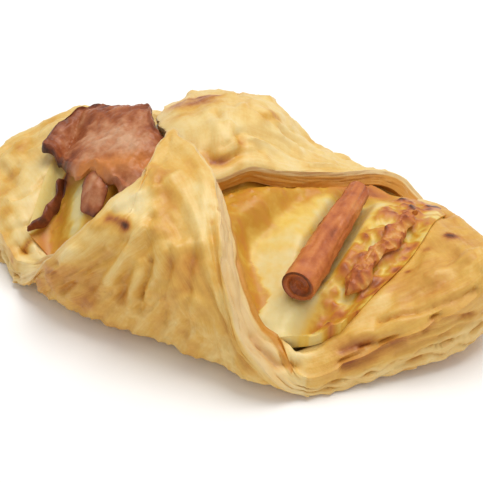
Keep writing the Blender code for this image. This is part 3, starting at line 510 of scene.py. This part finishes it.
def makePastry():
    look = pastryLook
    piece = slabGrid("pastryParcel", look["cells"], look["cells"], look["layers"])
    p, q, level = readPoints(piece).T
    rim = np.maximum(np.abs(p), np.abs(q)) > 0.9999
    wall = rim & (level > 0.01) & (level < 0.99)
    points = foldedSheet(p, q, level)
    writePoints(piece, points)
    normals = readPoints(piece, "normal")
    placed = points + middleShift
    u = parcel["reach"] * (p + q) / 2
    v = parcel["reach"] * (q - p) / 2
    right = smooth(u, 30, 44)
    left = smooth(-u, 30, 44)
    folded = (1 - right) * (1 - left)
    inner = (level > 0.5) & ~wall
    # relief of the crust
    height = np.zeros(len(points))
    for size, tall, seed in look["unevenness"]:
        height += tall * lumps(points, size, seed)
    bubble = np.minimum(np.maximum(lumps(points, look["blisterSize"], 9, 1) - 0.25, 0) * 2.2, 1.0)
    height += look["blisterHeight"] * bubble
    # the folds and flakes run down the flaps, and beside a rim along it
    byRim = smooth(np.maximum(np.abs(p), np.abs(q)), 0.62, 0.86)
    byRim = np.maximum(byRim, np.maximum(right, left))
    down = points[:, 0] - np.where(v < 0, 0.45, -0.2) * np.abs(v)
    rimward = parcel["reach"] * 0.7 * (1 - np.maximum(np.abs(p), np.abs(q)))
    rimwise = parcel["reach"] * 0.7 * np.where(np.abs(p) > np.abs(q), q, p)
    flutes = np.zeros(len(points))
    for wide, long, tall, seed in look["flutes"]:
        fallen = lumps(np.stack([down / wide, v / long, level * 2], -1), 1.0, seed, 1)
        rimmed = lumps(np.stack([rimward / wide, rimwise / long, level * 2], -1), 1.0, seed + 5, 1)
        fold = fallen * (1 - byRim) + rimmed * byRim
        flutes += tall * (1 - 2.4 * np.abs(fold))      # a sharp valley lies between two soft ridges
    height += flutes
    flake = lumps(np.stack([down / 5, v / 9, level], -1), 1.0, 19, 2) * look["flakeSteps"]
    height += look["flakeHeight"] * (smooth(flake - np.floor(flake), 0.0, 0.25) - (flake - np.floor(flake)))
    height *= smooth(points[:, 2], 0.6, 5.0) * (0.35 + 0.65 * smooth(rimward, 0.0, 3.5))
    covered = inner * (1 - smooth(np.abs(u), 49, 54)) * smooth(parcel["reach"] - np.abs(u) - np.abs(v), 4, 9)
    covered = np.where(inner & (np.abs(u) < 36), 1.0, covered)
    height *= 1 - 0.75 * covered
    strokeTone = np.zeros(len(points))
    for path, wide, tall, tone in pastryStrokes:
        weight = nearPath(placed, path, wide)
        height += look["creasing"] * tall * weight * smooth(points[:, 2], 0.4, 2.0)
        strokeTone += tone * weight
    # cut edges: thin leaves that stand out raggedly
    leaf, groove = leaves(points, level, look["leafCount"], 21)
    rounded = smooth(level, 0.4, 0.6) * np.maximum(right, left)     # the points roll over to a smooth top
    groove = groove * (1 - rounded)
    leaf = leaf * (1 - rounded) + rounded
    backCut = (v > 0) & (u > -4)
    depth = look["leafDepth"] * np.where(backCut, 0.35, 1.0) * np.where(np.abs(u) > 40, 1.9, 1.0)
    height = np.where(wall, 0.5 * height + depth * leaf, height)
    points = points + normals * height[:, None]
    points[:, 2] = np.maximum(points[:, 2], 0.0)
    # baked tone
    tones = look["tones"]
    tone = np.where(v < 0, tones["front"], tones["back"]) * folded
    tone = tone + tones["right"] * right + tones["left"] * left
    tone += 0.06 * lumps(points, 14.0, 31) + 0.03 * lumps(points, 4.0, 32) - 0.08 * flutes
    tone += 0.1 * bubble * (level < 0.5)
    for place, radius, extra in pastryPatches:
        tone += extra * nearPath(placed, (place,), radius * 1.25)
    pale = 0.14 + 0.12 * lumps(points, 6.0, 33)
    pointWall = tone * (0.45 + 0.55 * rounded) + 0.5 * pale * (1 - rounded)
    tone = np.where(wall, np.where(np.abs(u) > 40, pointWall, pale) + 0.32 * groove, tone)
    # browned cheese has soaked the inside, the inner half of the front cut and most of the back one
    soaked = np.where(inner, smooth(np.abs(v), 33, 38) * (1 - smooth(np.abs(u), 30, 36)), 0.0)
    reached = np.abs(u) + np.where(u > 0, 7.0, 0.0) + 1.5 * lumps(points, 6.0, 35)
    under = inner * (1 - soaked) * (1 - smooth(reached, 42, 52))
    tone += (0.12 + 0.1 * lumps(points, 5.0, 34) - tone) * under + strokeTone
    frontCut = wall & (v < -5) & (u > 2)
    soaked = np.where(frontCut, smooth(level, 0.62, 0.78) * (np.abs(u) < 37), soaked)
    soaked = np.where(wall & backCut & (u < 37), smooth(level, 0.18, 0.34), soaked)
    dough = np.where(wall, (1 - rounded) * (1 - 0.5 * np.maximum(right, left)) * (1 - soaked) * 0.8, 0.0)
    placePiece(piece, points)
    setTone(piece, look["tone"], tone)
    setTone(piece, "soaked", soaked)
    setTone(piece, "dough", dough)
    across = np.where(wall, level * 16, down * (1 - byRim) / 1.6 + rimward * byRim / 1.2)
    setFlow(piece, "flow", across, np.where(wall, rimwise, v) / 9, points[:, 2] / 20)
    coat(piece, look)
    return piece


# Filling
filling = {
    "gap": 0.5, "steepGap": 0.9, "thin": 0.8, "sliceThickness": 2.4,
    "left": ((-1, -42.0), (0, -48.5), (1, -47.5)),
    "right": ((-1, 43.0), (-0.4, 47.0), (0, 48.5), (1, 48.0)),
    "front": ((-1, -29.5), (-0.6, -33.0), (0, -33.0), (0.35, -34.8), (0.6, -35.2), (0.8, -32.6), (1, -26.0)),
    "back": ((-1, 22.0), (-0.6, 29.0), (0, 31.0), (0.5, 32.0), (0.8, 30.0), (1, 23.5)),
    "wallFoot": ((-12, 11.5), (-8, 13.0), (6.5, 15.5), (16, 22.0), (26, 29.0)),
    "wallHeight": ((-12, 24.5), (2, 24.5), (8, 22.3), (14, 19.5), (20, 17.0), (28, 14.0)),
    "frontCut": ((-14, -4.3), (-8, -7.7), (-2.3, -10.8), (3.5, -14.4), (9.2, -19.1), (14.7, -24.7),
                 (20, -29.9), (25, -33.1), (34, -35.4), (49, -36)),
    "backCut": ((-4, -15.4), (0.6, -6.6), (2.9, -2.6), (5.2, 0.2), (7.4, 1.9), (9.6, 3.9), (13.9, 11.0),
                (18.1, 17.1), (22.3, 24.9), (26.3, 30.9), (30.3, 32.7), (49, 34)),
    "bankHeight": ((-2, 27.0), (3.5, 27.5), (9.2, 24.5), (14.7, 20.8), (20, 17.0), (25, 12.5)),
    "bankWidth": 6.5, "openMargin": 1.5, "openStep": 1.5, "openFrom": -2.0, "openSky": 99.0,
    "rounding": 0.15, "pit": (29.5, 25.0), "pitDepth": 1.0,
    "moundTop": 29.5, "moundX": -18.0, "moundFall": 0.017, "moundDip": 6.5,
    "floorHeight": 19.5, "floorSlope": 0.27, "floorFall": 0.4, "floorFallFrom": 11.0, "heapHeight": 19.8,
    "frontInset": 6.6, "frontCutInset": 11.4, "backInset": 6.2,    # room under the flaps, from their outside
}
roll = {"near": (31.0, -24.5, 19.6), "far": (26.4, 16.8, 18.8), "nearRadius": 4.2, "farRadius": 3.7}


def bed(x, y):
    # height of the pastry that the filling lies on
    v = y + pointLean(x)
    side = np.clip(np.abs(y) / parcel["bedWidth"], 0, 0.99) ** parcel["baseSquareness"]
    folded = 1 - smooth(np.abs(x), parcel["flattenFrom"], parcel["flattenTo"])
    rise = parcel["bedRise"] * (1 - (1 - side) ** (1 / parcel["baseSquareness"])) * folded
    rightLift, leftLift = pointLift(x)
    lift = rightLift + leftLift
    return sheetThickness(x, v) + rise + lift


def fillingBottom(x, y):
    return bed(x, y) + filling["gap"] + filling["steepGap"] * smooth(np.abs(x), 33, 38)


def underFlap(x, y, front, inset):
    # height of the underside of a flap, taken as wide as the whole parcel
    width, height, low, roundness = parcelSize(x, front)
    width = width - inset
    share = np.clip(np.abs(y) / width, 0, 0.999)
    slip = np.where(front, 0.0, backSlip(-y))
    return low + np.maximum(height - low - inset, 0.5) * (1 - share ** roundness) ** (1 / roundness) - slip


def leftMound(x, y):
    spread = 0.9 - 0.45 * smooth(y, -6, 8)
    away = (x - filling["moundX"]) ** 2 * spread + y ** 2 * 0.75
    mound = filling["moundTop"] - filling["moundFall"] * away
    mound = mound - 0.35 * np.maximum(-y - 14, 0) - 1.5 * np.maximum(y - 9.5, 0)
    room = underFlap(x, y, True, filling["backInset"]) - filling["sliceThickness"] - 1.6
    return mound - np.maximum(mound - room, 0) * smooth(x, -22, -16)


def rightBowl(x, y):
    # pale floor, browned wall behind it, browned heap at the right and a browned bank at the front flap
    floor = filling["floorHeight"] + filling["floorSlope"] * np.minimum(y + 6, 0)
    floor = floor + 0.5 * np.maximum(14 - x, 0)
    behind = smooth(along(y, filling["wallFoot"]) - x, -1.0, 4.0)
    floor = floor - filling["floorFall"] * np.maximum(y - filling["floorFallFrom"], 0)
    floor = floor + (np.maximum(along(y, filling["wallHeight"]), floor) - floor) * behind
    pit = np.exp(-((x - filling["pit"][0]) / 5.0) ** 2 - ((y - filling["pit"][1]) / 6.0) ** 2)
    heap = filling["heapHeight"] - 0.0125 * (y - 5) ** 2 - 2.0 * smooth(x, 44, 50)
    heap = heap + 0.35 * np.sin(x * 0.5 + 1) * np.sin(y * 0.4)
    floor = floor + (heap - floor) * smooth(x, 31, 37)
    floor = floor - filling["pitDepth"] * pit
    bank = 1 - smooth(y - along(x, filling["frontCut"]), 0.5, filling["bankWidth"])
    raised = np.maximum(floor, along(x, filling["bankHeight"]))
    return floor + (raised - floor) * bank


def rollAxis(y):
    share = (y - roll["near"][1]) / (roll["far"][1] - roll["near"][1])
    middleX, middleZ = (roll["near"][k] + (roll["far"][k] - roll["near"][k]) * share for k in (0, 2))
    return middleX, middleZ, roll["nearRadius"] + (roll["farRadius"] - roll["nearRadius"]) * share


def cheeseTop(x, y):
    dip = smooth(-x, 31, 42) * (1 - smooth(y, -15, -5))
    left = leftMound(x, y) - filling["moundDip"] * dip
    top = left * (1 - smooth(x, -10, 8)) + rightBowl(x, y) * smooth(x, -10, 8)
    # no flap lies over the filling at the two openings
    sky, step, isRight = filling["openSky"], filling["openStep"], x > filling["openFrom"]
    frontRoom = underFlap(x, y, True, np.where(x > 4, filling["frontCutInset"], filling["frontInset"]))
    backRoom = underFlap(x, y, False, filling["backInset"] + 1.8 * smooth(-x, 23, 28))
    openLeft = sky * smooth(-x, 32.5, 36)
    pastFront = smooth(y - along(x, filling["frontCut"]) - filling["openMargin"], 0.0, step) * isRight
    pastBack = smooth(along(x, filling["backCut"]) - y - filling["openMargin"], 0.0, step) * isRight
    top = np.where(y < 0, np.minimum(top, frontRoom + openLeft + sky * pastFront), top)
    underBack = (y > 0) | ((x > -24) & (x < 8))
    top = np.where(underBack, np.minimum(top, backRoom + openLeft + sky * pastBack), top)
    rollX, rollZ, radius = rollAxis(np.clip(y, roll["near"][1] - 1, roll["far"][1] + 1))
    beside = np.abs(x - rollX)
    byRoll = (beside < radius + 4) & (y > roll["near"][1] - 2.5) & (y < roll["far"][1] + 2.5)
    trough = rollZ - np.sqrt(np.maximum((radius * 1.1 + 0.9) ** 2 - beside ** 2, 0.0))
    return np.where(byRoll, np.minimum(top, trough), top)


def onFilling(x, y):
    return np.maximum(cheeseTop(x, y), fillingBottom(x, y) + filling["thin"]) + filling["gap"]


ribbonLooks = {
    "baconCurl": {"top": (-30.9, -16.3), "tip": (-24.8, -23.6), "half": 3.4, "thickness": 1.6, "tone": 0.3},
    "baconEdge": {"near": -30.9, "far": -11.5, "thickness": 1.4, "tone": 0.82,
                  "middle": ((-30.5, -40.6), (-28, -39.8), (-24, -39.8), (-20, -40.2), (-16, -41.2),
                             (-12.8, -42.4)),
                  "half": ((-30.9, 0.8), (-12.2, 1.2))},
    "baconStrip": {"near": -16.5, "far": 14.0, "thickness": 1.6, "tone": 0.4, "rough": 0.75,
                   "colors": ((0.0, (0.72, 0.42, 0.12)), (0.3, (0.64, 0.26, 0.05)),
                              (0.55, (0.50, 0.14, 0.035)),
                              (0.8, (0.30, 0.07, 0.02)), (1.0, (0.12, 0.03, 0.01))),
                   "middle": ((-16.5, 39.8), (-12, 40.8), (-6, 41.0), (0, 43.0), (6, 42.4), (14, 43.2)),
                   "half": ((-16.5, 1.6), (-12, 2.6), (-6, 2.0), (0, 2.5), (6, 2.2), (14, 1.5))},
}


cheeseLook = {
    "cellsX": 230, "cellsY": 150, "melting": 10,
    "gap": 0.2, "thin": 0.5, "frontLip": 3.2, "softLeft": 110,
    "name": "meltedCheese", "tone": "toasted",
    "mottle": ((190.0, 3, 0.16), (700.0, 3, 0.12)),
    "colors": ((0.0, (0.78, 0.64, 0.28)), (0.2, (0.78, 0.53, 0.10)), (0.4, (0.62, 0.30, 0.024)),
               (0.6, (0.60, 0.22, 0.04)), (0.8, (0.42, 0.12, 0.03)), (1.0, (0.10, 0.026, 0.008))),
    "grainScale": 900.0, "roughness": (0.32, 0.52), "bump": 0.25, "bumpDepth": 0.3,
    "glow": 0.12, "glowDepth": 1.8, "gloss": 0.35, "glaze": 0.08,
}


def makeCheese():
    look = cheeseLook
    gridA, gridB = flatGrid(look["cellsX"], look["cellsY"])
    y = along(gridA, filling["front"]) * (1 - gridB) / 2 + along(gridA, filling["back"]) * (1 + gridB) / 2
    x = along(gridB, filling["left"]) * (1 - gridA) / 2 + along(gridB, filling["right"]) * (1 + gridA) / 2
    bottom = bed(x, y) + look["gap"]
    rough = np.maximum(cheeseTop(x, y), bottom + look["thin"])
    soft = smooth(-x, 24, 31)
    top = blurred(rough, look["melting"]) * (1 - soft) + blurred(rough, look["softLeft"]) * soft
    edge = np.clip(np.minimum(1 - np.abs(gridA), 1 - np.abs(gridB)) / filling["rounding"], 0, 1)
    lip = look["thin"] + look["frontLip"] * smooth(-gridB, 0.7, 1.0) * smooth(x, 22, 27)
    top = bottom + lip + np.maximum(top - bottom - lip, 0) * np.sqrt(1 - (1 - edge) ** 2)
    flat = np.stack([x.ravel(), y.ravel(), np.zeros(x.size)], -1)

    def spread(values):
        return values.reshape(x.shape)

    heap = smooth(x, 33, 37) * smooth(49.5 - x, 0, 2)
    foot = along(y, filling["wallFoot"])
    coarse = spread(lumps(flat, 4.6, 41))
    fine = spread(lumps(flat, 1.9, 42))
    crumb = coarse * (0.12 + 0.9 * heap) + fine * (0.05 + 0.4 * heap)
    bubbles = np.maximum(spread(lumps(flat, 1.6, 44, 1)) - 0.35, 0) * smooth(foot - x, -3, 1)
    top = top + (crumb + 0.8 * bubbles) * smooth(top - bottom, 0.4, 2.5)
    # toasted tone: the floor of the right opening stays creamy, all round it is browned
    inBowl = smooth(x - foot, 0.0, 4.0) * (1 - heap) * (x > 5)
    yellow = spread(nearPath(flat, ((13.5, -12, 0), (14.5, -8, 0), (18.5, 3, 0)), 3.0))
    tone = 0.44 + 0.07 * coarse + 0.05 * fine - 0.14 * yellow
    tone = tone * (1 - inBowl) + (0.08 + 0.14 * yellow + 0.07 * coarse + 0.05 * fine) * inBowl
    fromCut = y - along(x, filling["frontCut"])
    bank = (1 - smooth(fromCut + 1.2 * fine, 6.6, 8.6)) * (y < 2) * smooth(x, 4, 9) * (x < 24)
    tone += (0.44 + 0.12 * fine - tone) * bank
    inFront = smooth(-23.0 - y, -1.0, 3.0) * smooth(x, 24, 28) * (1 - bank)
    tone += (0.0 - tone) * inFront
    browned = 0.36 + 0.42 * coarse + 0.28 * fine + 0.12 * smooth(x, 38, 44)
    tone = tone * (1 - heap) + np.clip(browned, 0.05, 0.85) * heap
    tone -= 0.6 * spread(nearPath(flat, ((-34.0, -16.5, 0), (-31.5, -21.5, 0), (-30.0, -25.0, 0)), 2.3))
    # a dark line at the foot of the left point's wall, by the slice's front edge: partly burnt cheese, partly
    # painted shade in that crevice
    tone += 0.5 * spread(nearPath(flat, ((-44.5, -4, 0), (-42.8, -10, 0), (-42.0, -13.5, 0)), 1.1))
    tone += 0.12 * smooth(-x, 24, 28) * spread(np.maximum(lumps(flat, 3.0, 45), 0))
    # beyond the crisp edge of bacon on the left, the thin cheese is as pale as the pastry
    beyond = along(y, ribbonLooks["baconEdge"]["middle"]) - 0.4 - x
    tone += (0.1 - tone) * smooth(beyond, 0.0, 0.8) * (y < -4)
    # painted shade: darker in the hollow behind the far end of the roll, over the pit
    tone += 0.42 * spread(nearPath(flat, ((24, 22, 0), (33, 24, 0), (40, 22, 0)), 4.5))
    piece = slabGrid("meltedCheese", look["cellsX"], look["cellsY"], 1)
    a, b, level = readPoints(piece).T
    low = readTable(bottom, a, b)
    height = low + (readTable(top, a, b) - low) * level
    placePiece(piece, np.stack([readTable(x, a, b), readTable(y, a, b), height], -1))
    setTone(piece, look["tone"], readTable(tone, a, b))
    coat(piece, look)
    return piece


# Bacon
baconColors = ((0.0, (0.62, 0.34, 0.19)), (0.25, (0.50, 0.20, 0.085)), (0.45, (0.37, 0.105, 0.03)),
               (0.65, (0.26, 0.062, 0.015)), (0.85, (0.14, 0.03, 0.008)), (1.0, (0.055, 0.013, 0.005)))
sliceLook = {
    "left": -51.5, "right": -13.5, "thickness": 2.4, "cellsX": 170, "cellsY": 120,
    "front": ((-51.5, -7.0), (-50.5, -9.0), (-48, -10.0), (-44, -11.0), (-40.5, -13.0), (-36, -16.2),
              (-31, -15.6), (-26.8, -15.8), (-22, -18.3), (-17.5, -20.0), (-13.5, -18.0)),
    "back": ((-51.5, -5.0), (-50.5, -1.0), (-49.5, 2.0), (-48, 7.0), (-45, 10.5), (-40, 12.2), (-34, 12.4),
             (-29.5, 10.5), (-26, 5.0), (-22, 1.0), (-17, 0.0), (-13.5, -3.0)),
    "name": "roastedSlice", "tone": "charred",
    "mottle": ((160.0, 4, 0.26), (650.0, 3, 0.3), (2200.0, 2, 0.16)), "colors": baconColors,
    "washes": (("fatty", (0.60, 0.21, 0.045)),),
    "grainScale": 1000.0, "roughness": (0.34, 0.58), "bump": 0.45, "bumpDepth": 0.35,
    "glow": 0.05, "glowDepth": 1.0, "gloss": 0.38, "glaze": 0.08,
}


def makeSlice():
    look = sliceLook
    piece = slabGrid("baconSlice", look["cellsX"], look["cellsY"], 2)
    a, b, level = readPoints(piece).T
    x = look["left"] + (look["right"] - look["left"]) * (a + 1) / 2
    y = along(x, look["front"]) * (1 - b) / 2 + along(x, look["back"]) * (1 + b) / 2
    flat = np.stack([x, y, np.zeros(len(x))], -1)
    ragged = 0.9 * lumps(flat, 4.0, 55) * smooth(np.abs(b), 0.75, 1.0)
    y = y + ragged * np.sign(b)
    wave = 0.5 * np.sin(x * 0.42 + y * 0.2) + 0.4 * np.sin(y * 0.55 - x * 0.15)
    bottom = np.maximum(leftMound(x, y) + filling["gap"], onFilling(x, y))
    bottom = bottom + (1 - smooth(x, -30, -24)) * (0.6 + 0.6 * wave)
    edge = np.minimum((1 - np.abs(b)) * 14, (1 - np.abs(a)) * 19)       # mm from the slice's edge
    puckers = 0.5 * lumps(flat, 5.0, 51) + 0.28 * lumps(flat, 2.0, 52) * (0.6 + 0.4 * level)
    body = look["thickness"] * (0.45 + 0.4 * smooth(edge, 0.0, 1.6))
    body = body + 0.7 * np.exp(-((edge - 1.2) / 1.0) ** 2)          # the rim curls up
    points = np.stack([x, y, bottom + body * level + puckers * smooth(level, 0.1, 0.9)], -1)
    tone = 0.38 + 0.17 * lumps(flat, 7.0, 53) + 0.14 * lumps(flat, 2.4, 54) - 0.16 * puckers
    backRim = np.exp(-(1 - b) / 0.13)
    tone += 0.52 * backRim + 0.32 * np.exp(-(1 - b) / 0.4) * smooth(-x, 24, 44)
    tone += (0.35 * np.exp(-(1 + b) / 0.1) + 0.22 * np.exp(-(1 + b) / 0.3)) * smooth(-x, 36, 42)
    tone += 0.5 * np.exp(-(a + 1) / 0.08)
    tone -= 0.26 * nearPath(flat, ((-32, -8, 0), (-24, -7, 0)), 6.5)
    fatty = nearPath(flat, ((-33, -16, 0), (-27, -14, 0), (-21, -12, 0), (-16, -8, 0)), 3.6)
    placePiece(piece, points)
    setTone(piece, look["tone"], tone)
    setTone(piece, "fatty", fatty)
    coat(piece, look)
    return piece


ribbonLift = 0.3     # the small pieces lie this much higher than the gap that the filling keeps


def finishBacon(piece, points, tone, colors=baconColors):
    look = dict(sliceLook, name=piece.name + "Roast", washes=(), colors=colors)
    placePiece(piece, points)
    setTone(piece, look["tone"], tone)
    coat(piece, look)


def makeCurl():
    look = ribbonLooks["baconCurl"]
    piece = slabGrid("baconCurl", 40, 40, 2)
    a, b, level = readPoints(piece).T
    ends = np.stack([a * 2, b, np.zeros(len(a))], -1)
    half = look["half"] * np.sqrt(np.maximum(1.05 - np.maximum(a, 0) ** 2, 0.05))
    half = half * (0.7 + 0.3 * smooth(a, -1, 0.2))
    half = half * (1 + 0.16 * lumps(ends, 1.2, 65, 1)) * (1 - 0.3 * smooth(a, 0.0, 1.0))
    alongX = (look["tip"][0] - look["top"][0]) / 2
    alongY = (look["tip"][1] - look["top"][1]) / 2
    length = math.hypot(alongX, alongY)
    x = (look["top"][0] + look["tip"][0]) / 2 + alongX * a - alongY / length * half * b
    y = (look["top"][1] + look["tip"][1]) / 2 + alongY * a + alongX / length * half * b
    bottom = onFilling(x, y) + ribbonLift
    puckers = 0.3 * lumps(np.stack([x, y, level], -1), 2.2, 61)
    body = look["thickness"] * (1.1 - 0.85 * b ** 2) * (1 - 0.5 * np.maximum(a, 0) ** 2)
    points = np.stack([x, y, bottom + (body + puckers) * level], -1)
    finishBacon(piece, points, look["tone"] + 0.35 * np.abs(b) ** 3 + 0.3 * np.abs(a) ** 6 + 0.5 * puckers)
    return piece


def makeRibbon(name, cells):
    look = ribbonLooks[name]
    piece = slabGrid(name, cells, 16, 2)
    a, b, level = readPoints(piece).T
    y = look["near"] + (look["far"] - look["near"]) * (a + 1) / 2
    taper = np.sqrt(np.maximum(1.04 - a ** 6, 0.04))
    x = along(y, look["middle"]) + along(y, look["half"]) * taper * b
    rough = look.get("rough", 0.3)
    flat = np.stack([x, y, level], -1)
    puckers = rough * (lumps(flat, 2.4, 62) + 0.5 * (lumps(flat, 1.0, 63) if rough > 0.5 else 0))
    x = x + rough * 1.6 * lumps(flat, 3.4, 64, 1) * np.abs(b)       # ragged sides
    rise = np.maximum(look["thickness"] * (1.1 - 0.5 * b ** 2) + puckers, 0.2) * level
    points = np.stack([x, y, onFilling(x, y) + ribbonLift + rise], -1)
    finishBacon(piece, points, look["tone"] + 0.45 * puckers, look.get("colors", baconColors))
    return piece


rollLook = {
    "sides": 96, "rings": 110, "endTone": 0.66, "bodyTone": 0.42, "step": 0.1, "turns": 2.0,
    "narrowing": 0.16, "puckers": 0.24, "ribs": 0.24,
    "colors": ((0.0, (0.70, 0.31, 0.09)), (0.3, (0.59, 0.185, 0.045)), (0.55, (0.44, 0.11, 0.026)),
               (0.8, (0.20, 0.045, 0.012)), (1.0, (0.06, 0.015, 0.006))),
}


def makeRoll():
    # a closed tube from a sphere: the rings near its poles become the two end faces, dished between the turns
    look = rollLook
    bpy.ops.object.select_all(action="DESELECT")
    bpy.ops.mesh.primitive_uv_sphere_add(segments=look["sides"], ring_count=look["rings"], radius=1)
    piece = bpy.context.active_object
    piece.name = "baconRoll"
    piece.data.name = "baconRoll"
    ball = readPoints(piece)
    polar = np.arccos(np.clip(ball[:, 2], -1, 1)) / math.pi
    turn = np.arctan2(ball[:, 1], ball[:, 0])
    faceShare = 0.16
    fromEnd = np.minimum(polar, 1 - polar)
    onFace = fromEnd < faceShare
    wide = np.where(onFace, np.sin(np.clip(fromEnd / faceShare, 0, 1) * math.pi / 2) ** 0.9, 1.0)
    share = np.clip((polar - faceShare) / (1 - 2 * faceShare), 0, 1)
    nearEnd = polar < 0.5
    # the spiral of the rolled slice shows on the end faces as a groove
    spiral = np.cos((wide * look["turns"] - turn / (2 * math.pi)) * 2 * math.pi)
    dish = np.where(onFace, (1 - wide) * 1.3 + 0.45 * spiral * wide * (1 - wide) * 4, 0.0)
    length = roll["far"][1] - roll["near"][1]
    y = roll["near"][1] + length * share + np.where(nearEnd, 1, -1) * dish
    middleX, middleZ, radius = rollAxis(y)
    step = look["step"] * (((turn / (2 * math.pi)) + 0.3) % 1.0)
    lump = 0.03 * np.sin(2 * turn + share * 5) + 0.03 * np.sin(share * 9 + turn)
    radius = radius * wide * (0.93 + step + lump) * (1 - look["narrowing"] * share)
    points = np.stack([middleX + radius * np.cos(turn), y, middleZ + radius * np.sin(turn)], -1)
    puckers = lumps(points, 3.0, 71)
    radial = np.stack([np.cos(turn), np.zeros(len(turn)), np.sin(turn)], -1)
    ribs = lumps(np.stack([turn * 2.2, share * 2.5, np.zeros(len(turn))], -1), 1.0, 73)
    points = points + radial * ((look["puckers"] * puckers + look["ribs"] * ribs) * ~onFace)[:, None]
    tone = look["bodyTone"] + 0.16 * lumps(points, 5.0, 72) + 0.1 * puckers - 0.16 * ribs
    # painted shade: the underside of the roll is darker
    tone += 0.18 * smooth(np.sin(turn), 0.1, -0.9)
    tone = np.where(onFace, look["endTone"] - 0.25 * spiral * wide, tone)
    finishBacon(piece, points, tone, look["colors"])
    return piece


# Build the pieces, and hand each one to the frame
pieces = {
    "pastry": makePastry(),
    "cheese_filling": makeCheese(),
    "bacon_slice": makeSlice(),
    "bacon_curl": makeCurl(),
    "bacon_edge": makeRibbon("baconEdge", 60),
    "bacon_strip": makeRibbon("baconStrip", 120),
    "bacon_roll": makeRoll(),
}
for node, piece in pieces.items():
    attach(piece, "root")
    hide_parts(node)
print("turnover dressed:", ", ".join(piece.name for piece in pieces.values()))

# Floor, light and camera
studio = {
    "floorSize": 3.0, "floorColor": (1.0, 1.0, 1.0),
    "azimuth": 29.0, "elevation": 38.0, "distance": 0.44, "lens": 129.5, "aim": (1.6, 1.6, 4.0),
    "sky": 0.55,
}
lamps = [
    # name, place in metres, size, watts, colour
    ("keySoftbox", (0.06, 0.22, 0.84), 0.6, 5.2, (1.0, 0.98, 0.95)),
    ("frontFill", (0.5, -0.7, 0.5), 0.8, 0.5, (1.0, 0.98, 0.95)),
]


def makeStudio():
    bpy.ops.mesh.primitive_plane_add(size=studio["floorSize"], location=(0, 0, 0))
    floor = bpy.context.active_object
    floor.name = "floor"
    material, nodes, links, shader = startMaterial("paleFloor")
    tint = noiseNode(nodes, links, 40.0, 2)
    colors = ramp(nodes, ((0.0, studio["floorColor"]), (1.0, tuple(c * 0.99 for c in studio["floorColor"]))))
    links.new(tint, colors.inputs["Fac"])
    links.new(colors.outputs["Color"], shader.inputs["Base Color"])
    shader.inputs["Roughness"].default_value = 0.85
    floor.data.materials.append(material)
    world = bpy.data.worlds.new("softRoom")
    bpy.context.scene.world = world
    world.use_nodes = True
    world.node_tree.nodes["Background"].inputs["Color"].default_value = (1, 1, 1, 1)
    world.node_tree.nodes["Background"].inputs["Strength"].default_value = studio["sky"]
    for name, place, size, watts, color in lamps:
        lamp = bpy.data.lights.new(name, "AREA")
        lamp.size = size
        lamp.energy = watts
        lamp.color = color
        holder = bpy.data.objects.new(name, lamp)
        holder.location = place
        holder.rotation_euler = Vector(place).to_track_quat("Z", "Y").to_euler()
        bpy.context.scene.collection.objects.link(holder)
    turn = math.radians(studio["azimuth"])
    lift = math.radians(studio["elevation"])
    out = Vector((math.sin(turn) * math.cos(lift), -math.cos(turn) * math.cos(lift), math.sin(lift)))
    aim = (Vector(studio["aim"]) + Vector((0, middleShift[1], 0))) * mm
    camera = bpy.data.cameras.new("camera")
    camera.lens = studio["lens"]
    camera.sensor_width = 36
    camera.clip_start = 0.01
    holder = bpy.data.objects.new("camera", camera)
    holder.location = aim + out * studio["distance"]
    holder.rotation_euler = out.to_track_quat("Z", "Y").to_euler()
    bpy.context.scene.collection.objects.link(holder)
    bpy.context.scene.camera = holder
    bpy.context.scene.view_settings.view_transform = "Standard"


makeStudio()
print("studio ready")
